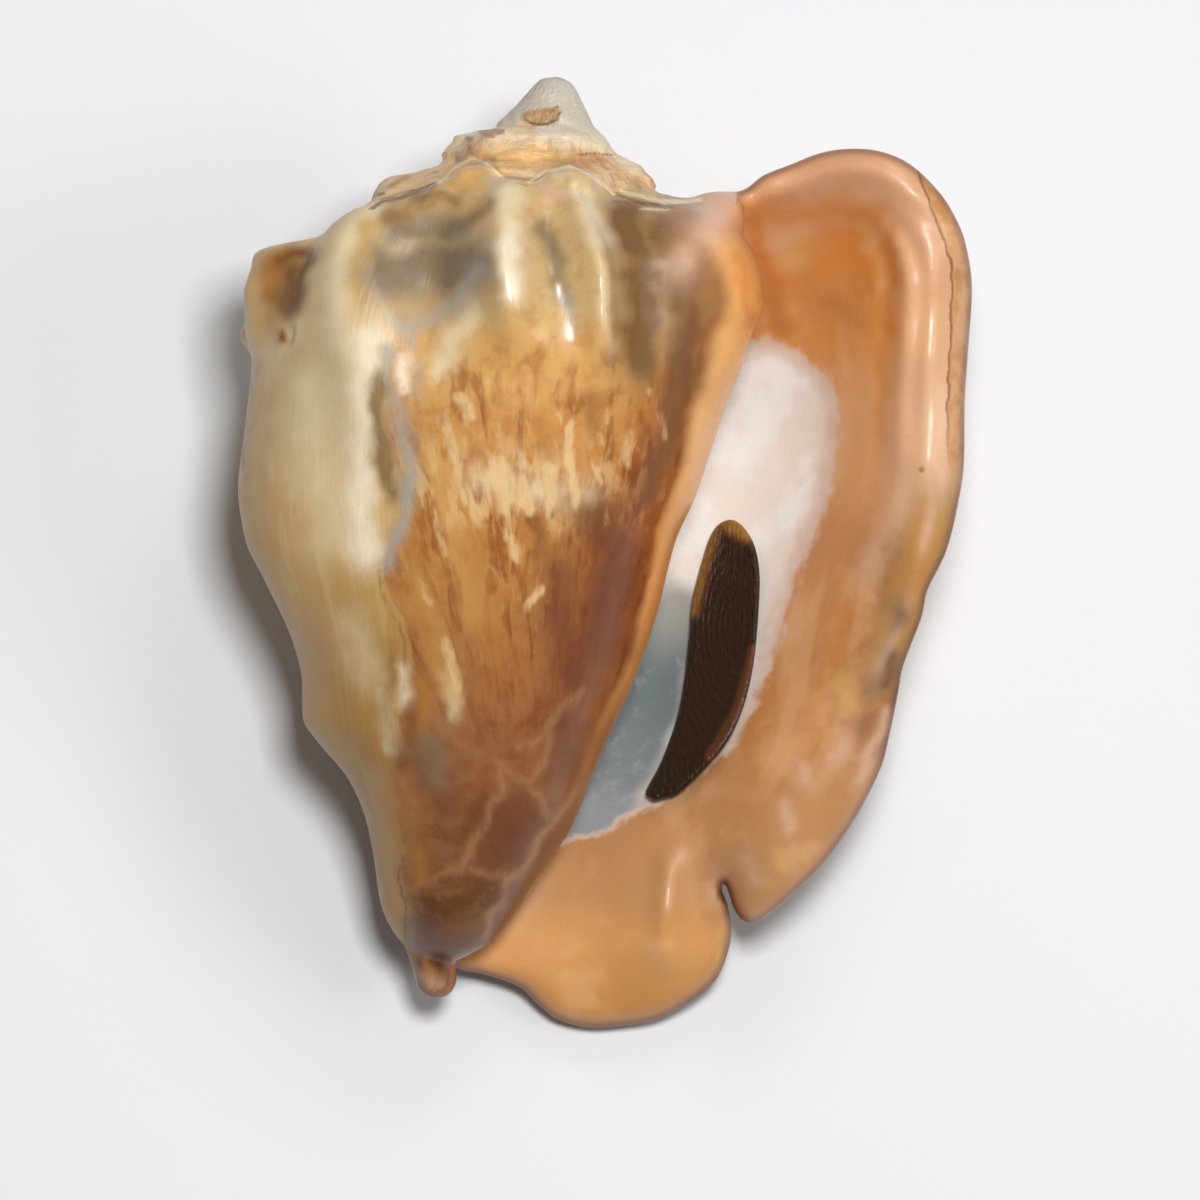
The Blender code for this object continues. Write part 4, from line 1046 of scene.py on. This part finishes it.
def shell_material():
    """Porcelain-like lime: a chalky spire, a streaked outer face, a mottled glaze, a peach lip and a white throat."""
    paint = Shading("shell_lime_glazed")
    place = paint.read("place", "Vector")
    up = paint.read("up")
    cavity = paint.read("cavity")
    glaze = paint.read("glaze")
    rim = paint.read("rim")

    broad = paint.noise(place, (0.10, 0.10, 0.10), 3.0)
    cloud = paint.noise(place, (0.35, 0.35, 0.35), 3.0, 0.6)
    grain = paint.noise(place, (3.0, 3.0, 3.0), 1.0, 0.6)
    streak = paint.growth_noise((0.60, 0.60, 0.12), 3.0, 0.6, 0.0)
    hair = paint.growth_noise((2.4, 2.4, 0.22), 2.0, 0.55, 0.0)
    fleck = paint.growth_noise((1.2, 1.2, 0.36), 2.0, 0.55, 0.0)
    thread = paint.noise(paint.read("coil", "Vector"), (0.25, 0.25, 1.6), 2.0, 0.6)

    # Outer face: cream to tan with brown growth streaks, rusty clouds on the back.
    outer = paint.ramp(
        up, -55, 45,
        [(-52, (0.25, 0.10, 0.026)), (-32, (0.30, 0.145, 0.033)), (-18, (0.40, 0.21, 0.052)), (0, (0.54, 0.32, 0.10)),
         (22, (0.64, 0.47, 0.24)), (42, (0.62, 0.42, 0.18))],
    )
    pallor = paint.times(paint.step(streak, 0.50, 0.72, 0, 0.6), paint.step(up, -22, 12, 0.3, 1.0))
    pale = paint.ramp(up, -55, 45, [(-40, (0.58, 0.36, 0.12)), (-8, (0.68, 0.48, 0.21)), (15, (0.70, 0.54, 0.30))])
    outer = paint.over(outer, pale, pallor)
    behind = paint.step(paint.read("front"), 0.0, 0.5, 1, 0)
    outer = paint.over(outer, (0.45, 0.20, 0.045), paint.times(behind, paint.step(broad, 0.48, 0.66, 0, 0.75)))
    outer = paint.over(outer, (0.24, 0.11, 0.035), paint.times(behind, paint.step(streak, 0.36, 0.24, 0, 0.6)))
    fine = paint.times(paint.step(hair, 0.56, 0.72), paint.step(behind, 0, 1, 0.14, 0.4))
    outer = paint.over(outer, (0.30, 0.17, 0.06), fine)

    # Glaze over the body whorl: amber above, purple-brown towards the foot.
    shield = paint.ramp(
        up, -55, 45,
        [(-48, (0.11, 0.041, 0.011)), (-37, (0.22, 0.086, 0.027)), (-26, (0.30, 0.115, 0.040)), (-14, (0.37, 0.145, 0.045)),
         (0, (0.48, 0.205, 0.052)), (14, (0.54, 0.25, 0.064)), (25, (0.63, 0.35, 0.11)), (32, (0.58, 0.39, 0.17))],
    )
    lower = paint.step(up, 30, 22)
    veil = paint.growth_noise((0.42, 0.42, 0.13), 2.5, 0.5, 0.8)
    veiled = paint.times(lower, paint.step(up, -30, -8, 0.12, 1.0))
    shield = paint.deepen(shield, paint.times(veiled, paint.step(veil, 0.54, 0.36, 0, 0.85)), (0.60, 0.42, 0.32))
    marbled = paint.step(up, -14, -28)
    shield = paint.over(shield, (0.30, 0.13, 0.055), paint.times(marbled, paint.step(cloud, 0.48, 0.68, 0, 0.5)))
    shield = paint.deepen(shield, paint.times(marbled, paint.step(broad, 0.52, 0.36, 0, 0.7)), (0.66, 0.52, 0.50))
    shield = paint.deepen(shield, paint.step(cloud, 0.54, 0.34, 0, 0.4), (0.72, 0.55, 0.45))
    middle = paint.times(lower, paint.step(up, -24, 4))
    shield = paint.over(shield, (0.72, 0.42, 0.14), paint.times(middle, paint.step(fleck, 0.50, 0.70, 0, 0.28)))
    freckled = paint.times(paint.step(up, 1, 6), paint.step(up, 26, 16))
    shield = paint.over(shield, (0.70, 0.46, 0.21), paint.times(freckled, paint.step(fleck, 0.60, 0.70, 0, 0.22)))
    flame = paint.growth_noise((0.70, 0.70, 0.22), 2.0, 0.5, 0.0)
    flaming = paint.times(paint.step(up, 1, 5), paint.step(up, 17, 10))
    shield = paint.over(shield, (0.68, 0.44, 0.20), paint.times(flaming, paint.step(flame, 0.46, 0.60, 0, 0.75)))
    ruddy = paint.times(paint.step(paint.read("band"), 16.0, 5.0), paint.step(up, -30, -5))
    shield = paint.deepen(shield, ruddy, (0.64, 0.39, 0.23))
    margin = paint.add(glaze, paint.step(streak, 0.3, 0.7, -0.8, 0.8))
    soft = paint.step(up, 22, 32, 0.5, 4.0)
    skin = paint.over(outer, shield, paint.step(paint.sum("DIVIDE", margin, soft), -1.0, 1.0))

    # Spire: chalky white with fine threads.
    chalk = paint.ramp(
        paint.read("down"), 0, 20,
        [(0, (0.53, 0.50, 0.43)), (5, (0.55, 0.48, 0.37)), (8.4, (0.76, 0.64, 0.47)), (9.6, (0.74, 0.54, 0.34)),
         (11.5, (0.78, 0.53, 0.29)), (15, (0.66, 0.45, 0.23))],
    )
    low_whorls = paint.step(paint.read("down"), 7.0, 9.5)
    chalk = paint.over(chalk, (0.62, 0.31, 0.08), paint.times(low_whorls, paint.step(fleck, 0.52, 0.70, 0, 0.6)))
    chalk = paint.over(chalk, (0.34, 0.19, 0.08), paint.times(low_whorls, paint.step(cloud, 0.46, 0.34, 0, 0.5)))
    chalk = paint.over(chalk, (0.46, 0.28, 0.13), paint.step(cloud, 0.58, 0.74, 0, 0.4))
    rib = paint.noise(paint.read("coil", "Vector"), (0.26, 0.26, 0.14), 2.0, 0.6)
    chalk = paint.over(chalk, (0.52, 0.25, 0.065), paint.times(low_whorls, paint.step(rib, 0.50, 0.66, 0, 0.7)))
    chalk = paint.over(chalk, (0.78, 0.70, 0.54), paint.step(thread, 0.54, 0.74, 0, 0.5))
    lapped = paint.read("lapped")
    peak = paint.step(lapped, 0.3, -0.3)
    skin = paint.over(skin, chalk, peak)
    fringe = paint.times(paint.step(lapped, -0.2, 0.15), paint.step(lapped, 0.7, 0.3))
    skin = paint.over(skin, (0.74, 0.62, 0.44), paint.times(fringe, paint.step(cloud, 0.40, 0.56, 0, 0.8)))
    # Painted shadow: a dark band on the older whorl just beside the lapping edge.
    gap = paint.times(paint.step(lapped, -0.9, -0.4), paint.step(lapped, 0.0, -0.3))
    skin = paint.over(skin, (0.30, 0.17, 0.08), paint.times(gap, paint.step(cloud, 0.35, 0.55, 0.2, 0.8)))

    # Orange band along the column's edge.
    belt = paint.ramp(
        up, -55, 45,
        [(-50, (0.20, 0.08, 0.035)), (-34, (0.24, 0.095, 0.038)), (-24, (0.42, 0.17, 0.055)), (-14, (0.74, 0.34, 0.105)),
         (-2, (0.88, 0.38, 0.10)), (14, (0.96, 0.56, 0.25)), (30, (0.98, 0.52, 0.18)), (37, (0.90, 0.46, 0.17)), (43, (0.62, 0.36, 0.22))],
    )
    band = paint.add(paint.read("band"), paint.step(broad, 0.3, 0.7, -0.4, 0.4))
    reach = paint.step(up, -10, 38, 2.3, 5.4)
    near = paint.sum("DIVIDE", band, reach)
    skin = paint.over(skin, belt, paint.times(paint.step(near, 1.2, 0.6), paint.step(glaze, 0, 1)))

    # Inside: peach lip, pinkish-brown at the rim with painted edge shade, and a white throat with painted shade at its
    # edges.
    lip = paint.ramp(
        up, -60, 48,
        [(-58, (0.58, 0.26, 0.065)), (-50, (0.68, 0.32, 0.10)), (-42, (0.52, 0.26, 0.105)), (-30, (0.50, 0.235, 0.09)),
         (-16, (0.56, 0.25, 0.08)), (0, (0.58, 0.28, 0.11)), (14, (0.72, 0.38, 0.17)), (30, (0.74, 0.31, 0.080)),
         (44, (0.60, 0.22, 0.050))],
    )
    lip = paint.over(lip, (0.84, 0.50, 0.26), paint.step(broad, 0.50, 0.66, 0, 0.28))
    along_lip = paint.noise(paint.read("ribbon", "Vector"), (0.22, 0.04, 0.0), 2.0, 0.4)
    sided = paint.times(paint.step(up, -36, -20), paint.step(up, 42, 30))
    lip = paint.over(lip, (0.86, 0.55, 0.33), paint.times(sided, paint.step(along_lip, 0.50, 0.64, 0, 0.3)))
    lip = paint.deepen(lip, paint.times(sided, paint.step(along_lip, 0.46, 0.32, 0, 0.3)), (0.80, 0.60, 0.46))
    beige = paint.times(paint.step(rim, 10.5, 7.5), paint.step(up, -8, 4))
    lip = paint.over(lip, (0.66, 0.42, 0.27), paint.times(beige, 0.62))
    # Pinkish-brown rim, darkened towards the margin as painted edge shade.
    lip = paint.over(lip, (0.54, 0.28, 0.15), paint.step(rim, 2.4, 0.2, 0, 0.7))
    dusk = paint.times(paint.step(up, 12, -2), paint.step(up, -32, -16))
    dusk = paint.times(dusk, paint.step(paint.add(rim, paint.times(cloud, 6.0)), 12.5, 4.5))
    lip = paint.deepen(lip, dusk, (0.32, 0.20, 0.13))
    white = paint.add(paint.read("white"), paint.step(cloud, 0.3, 0.7, -0.4, 0.4))
    throat = paint.over((0.89, 0.80, 0.72), (0.96, 0.92, 0.87), paint.step(broad, 0.40, 0.60))
    # Painted shade: the white throat turns pinkish-grey towards its edges.
    throat = paint.over(throat, (0.70, 0.47, 0.36), paint.step(white, 3.5, 0.2, 0, 0.75))
    lip = paint.over(lip, throat, paint.step(white, -0.6, 0.5))
    skin = paint.over(skin, lip, paint.step(cavity, -0.15, 0.15))

    # Painted highlight: a thin pale line along the column's edge in the lower half.
    edge = paint.times(paint.step(paint.read("band"), -0.45, -0.1), paint.step(paint.read("band"), 0.25, -0.1))
    skin = paint.over(skin, (0.74, 0.58, 0.46), paint.times(edge, paint.times(paint.step(up, -38, -34), paint.step(up, -8, -16, 0, 0.6))))

    # Brush strokes: soft ones clouded, crisp ones with edges broken along the growth lines.
    ragged = paint.add(paint.times(fleck, 1.3), paint.times(hair, 0.3))
    clouded = paint.add(paint.times(cloud, 0.7), paint.times(streak, 0.5))
    for tint, colour in TINTS.items():
        if tint in CRISP:
            broken = paint.times(paint.read(tint), paint.add(ragged, 0.1))
            share = paint.step(broken, 0.18, 0.85, 0, 0.85)
        else:
            share = paint.times(paint.read(tint), paint.add(clouded, 0.42))
        skin = paint.over(skin, colour, share)
    # Painted shade: dark blue-grey in the throat along the column's edge.
    painted_throat_shade = paint.times(paint.step(white, -0.1, 0.9), paint.step(paint.times(paint.read("chill"), paint.add(broad, 0.6)), 0.1, 0.9))
    throat_shade_colour = paint.ramp(up, -40, 0, [(-34, (0.30, 0.32, 0.33)), (-26, (0.21, 0.24, 0.25)), (-16, (0.15, 0.185, 0.19)), (-6, (0.36, 0.35, 0.32))])
    throat_shade_colour = paint.over(throat_shade_colour, (0.40, 0.41, 0.42), paint.step(cloud, 0.52, 0.70, 0, 0.4))
    skin = paint.over(skin, throat_shade_colour, painted_throat_shade)

    # Where the outer lip's glaze ends the outer skin shows, orange-brown.
    bark = paint.over((0.62, 0.34, 0.16), (0.50, 0.22, 0.06), paint.step(cloud, 0.40, 0.66))
    seam = paint.add(paint.read("seam"), paint.step(cloud, 0.3, 0.7, -0.2, 0.2))
    skin = paint.over(skin, bark, paint.times(paint.step(seam, -0.1, 0.3, 0, 0.85), paint.step(up, 2, 14)))
    line = paint.times(paint.step(seam, -0.3, 0.0), paint.step(seam, 0.3, 0.0))
    skin = paint.over(skin, (0.19, 0.07, 0.02), paint.times(line, paint.step(up, 8, 20, 0, 0.8)))
    # Painted shade: the lip's margin darkened in its last millimetre.
    skin = paint.deepen(skin, paint.times(paint.step(rim, 1.1, -0.2), paint.step(cavity, -0.3, 0.1)), (0.50, 0.36, 0.28))
    skin = paint.deepen(skin, paint.step(grain, 0.35, 0.7, 0, 0.18), (0.8, 0.74, 0.68))
    paint.feed(paint.surface.inputs["Base Color"], skin)

    # Gloss: the glaze shines, the outer face less, the spire is chalky.
    gloss = paint.step(glaze, -0.3, 0.6, 0.42, 0.27)
    gloss = paint.add(gloss, paint.times(peak, 0.22))
    gloss = paint.add(gloss, paint.times(paint.read("umber"), 0.28))
    gloss = paint.add(gloss, paint.step(cavity, 0.0, 0.4, 0.0, 0.08))
    gloss = paint.add(gloss, paint.times(paint.times(dusk, paint.step(cavity, 0.0, 0.4)), 0.16))
    gloss = paint.add(gloss, paint.step(cloud, 0.3, 0.8, -0.03, 0.06))
    paint.feed(paint.surface.inputs["Roughness"], gloss)
    paint.surface.inputs["IOR"].default_value = 1.5

    # Growth lines and fine threads.
    lines = paint.times(hair, paint.step(glaze, -0.3, 0.6, 0.22, 0.12))
    lines = paint.times(lines, paint.step(cavity, -0.2, 0.4, 1.0, 0.1))
    lines = paint.add(lines, paint.times(thread, paint.times(peak, 1.3)))
    paint.feed(paint.surface.inputs["Normal"], paint.bump(lines, 0.00022))
    return paint.material


def mark_operculum(item):
    points = mesh_points(item)
    x, y, _ = points.T
    mark(item, "place", points)
    mark(item, "edge", -distance_to_outline(x, y, OPERCULUM_EDGE))
    mark(item, "top", stroke_field(x, y, [([(13.6, 3.6), (12.0, -1), (10.6, -7)], 1.3, 1.0), ([(14.8, 4.4), (17.8, 2.6)], 1.3, 1.0)]))
    mark(item, "foot", stroke_field(x, y, [([(18.6, -12), (16.6, -19.5), (13, -25.6)], 0.7, 1.0)]))
    rings = np.hypot((x - 16.3) * 1.0, (y + 9.0) * 0.45)
    mark(item, "rings", rings)


def operculum_material():
    """Dark horn with growth rings, amber at its attached end."""
    paint = Shading("horn_brown")
    place = paint.read("place", "Vector")
    cloud = paint.noise(place, (0.5, 0.5, 0.5), 4.0, 0.6)
    grain = paint.noise(place, (2.5, 0.5, 2.5), 3.0, 0.6)
    spread = paint.add(paint.times(paint.read("rings"), 9.0), paint.times(cloud, 5.0))
    wave = paint.step(paint.sum("SINE", spread), -0.6, 0.9)
    horn = paint.over((0.022, 0.0085, 0.0030), (0.046, 0.019, 0.0065), paint.times(wave, 0.25))
    horn = paint.over(horn, (0.046, 0.019, 0.006), paint.step(grain, 0.5, 0.75, 0, 0.5))
    horn = paint.over(horn, (0.11, 0.035, 0.012), paint.step(paint.read("foot"), 0.2, 0.9, 0, 0.85))
    amber = paint.times(paint.read("top"), paint.add(cloud, 0.6))
    horn = paint.over(horn, (0.12, 0.045, 0.010), paint.step(amber, 0.05, 0.60))
    horn = paint.over(horn, (0.30, 0.135, 0.022), paint.step(amber, 0.45, 1.05, 0, 0.85))
    paint.feed(paint.surface.inputs["Base Color"], horn)
    paint.feed(paint.surface.inputs["Roughness"], paint.step(grain, 0.3, 0.7, 0.28, 0.42))
    paint.surface.inputs["Specular IOR Level"].default_value = 0.35
    height = paint.add(paint.times(wave, 0.12), grain)
    paint.feed(paint.surface.inputs["Normal"], paint.bump(height, 0.00025))
    return paint.material


mark_shell(shell)
mark_operculum(operculum)
shell.data.materials.append(shell_material())
operculum.data.materials.append(operculum_material())
settle(shell)
settle(operculum)

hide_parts("shell")
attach(shell, "root")
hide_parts("operculum")
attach(operculum, "root")

# ---------------------------------------------------------------- floor, light and camera
VIEW_CENTRE = (-0.76, -5.8)
VIEW_WIDTH = 151.2
VIEW_DISTANCE = 2000.0
lying = Euler((math.radians(REST_PITCH), math.radians(REST_ROLL), 0.0)).to_matrix()


def drawn(x, y, z):
    """A point high over a place of the drawing, in the world."""
    place = Vector((lay_down(np.array([[x, y, 0.0]])) * stretch + shift)[0])
    return place + lying @ Vector((0.0, 0.0, z / 1000.0))



floor_mesh = bpy.data.meshes.new("floor")
FLOOR = 3.0
floor_mesh.from_pydata([(-FLOOR, -FLOOR, 0), (FLOOR, -FLOOR, 0), (FLOOR, FLOOR, 0), (-FLOOR, FLOOR, 0)], [], [(0, 1, 2, 3)])
floor = bpy.data.objects.new("floor", floor_mesh)
bpy.context.scene.collection.objects.link(floor)
paper = bpy.data.materials.new("floor_paper")
paper.use_nodes = True
paper.node_tree.nodes["Principled BSDF"].inputs["Base Color"].default_value = (0.75, 0.76, 0.78, 1)
paper.node_tree.nodes["Principled BSDF"].inputs["Roughness"].default_value = 0.9
floor_mesh.materials.append(paper)

camera_data = bpy.data.cameras.new("camera")
camera_data.sensor_width = 36.0
camera_data.lens = 36.0 * VIEW_DISTANCE / VIEW_WIDTH
camera_data.clip_end = 20.0
camera = bpy.data.objects.new("camera", camera_data)
camera.matrix_world = Matrix.Translation(drawn(*VIEW_CENTRE, VIEW_DISTANCE)) @ lying.to_4x4()
bpy.context.scene.collection.objects.link(camera)
bpy.context.scene.camera = camera


def soft_light(name, place, size, power, colour=(1.0, 1.0, 1.0)):
    """A square soft light at a place of the drawing, aimed at the shell."""
    data = bpy.data.lights.new(name, "AREA")
    data.size = size
    data.energy = power
    data.color = colour
    made = bpy.data.objects.new(name, data)
    bpy.context.scene.collection.objects.link(made)
    spot = drawn(*place)
    aim = drawn(0.0, 0.0, 0.0) - spot
    made.matrix_world = Matrix.Translation(spot) @ aim.to_track_quat("-Z", "Y").to_matrix().to_4x4()
    return made


soft_light("key", (70.0, 130.0, 720.0), 0.15, 4.6)
soft_light("fill", (520.0, 40.0, 520.0), 0.30, 1.1)
soft_light("edge", (190.0, 640.0, 460.0), 0.22, 0.95)
world = bpy.data.worlds.new("world")
world.use_nodes = True
world.node_tree.nodes["Background"].inputs["Color"].default_value = (1.0, 1.0, 1.0, 1)
world.node_tree.nodes["Background"].inputs["Strength"].default_value = 0.15
bpy.context.scene.world = world
bpy.context.scene.view_settings.view_transform = "Standard"
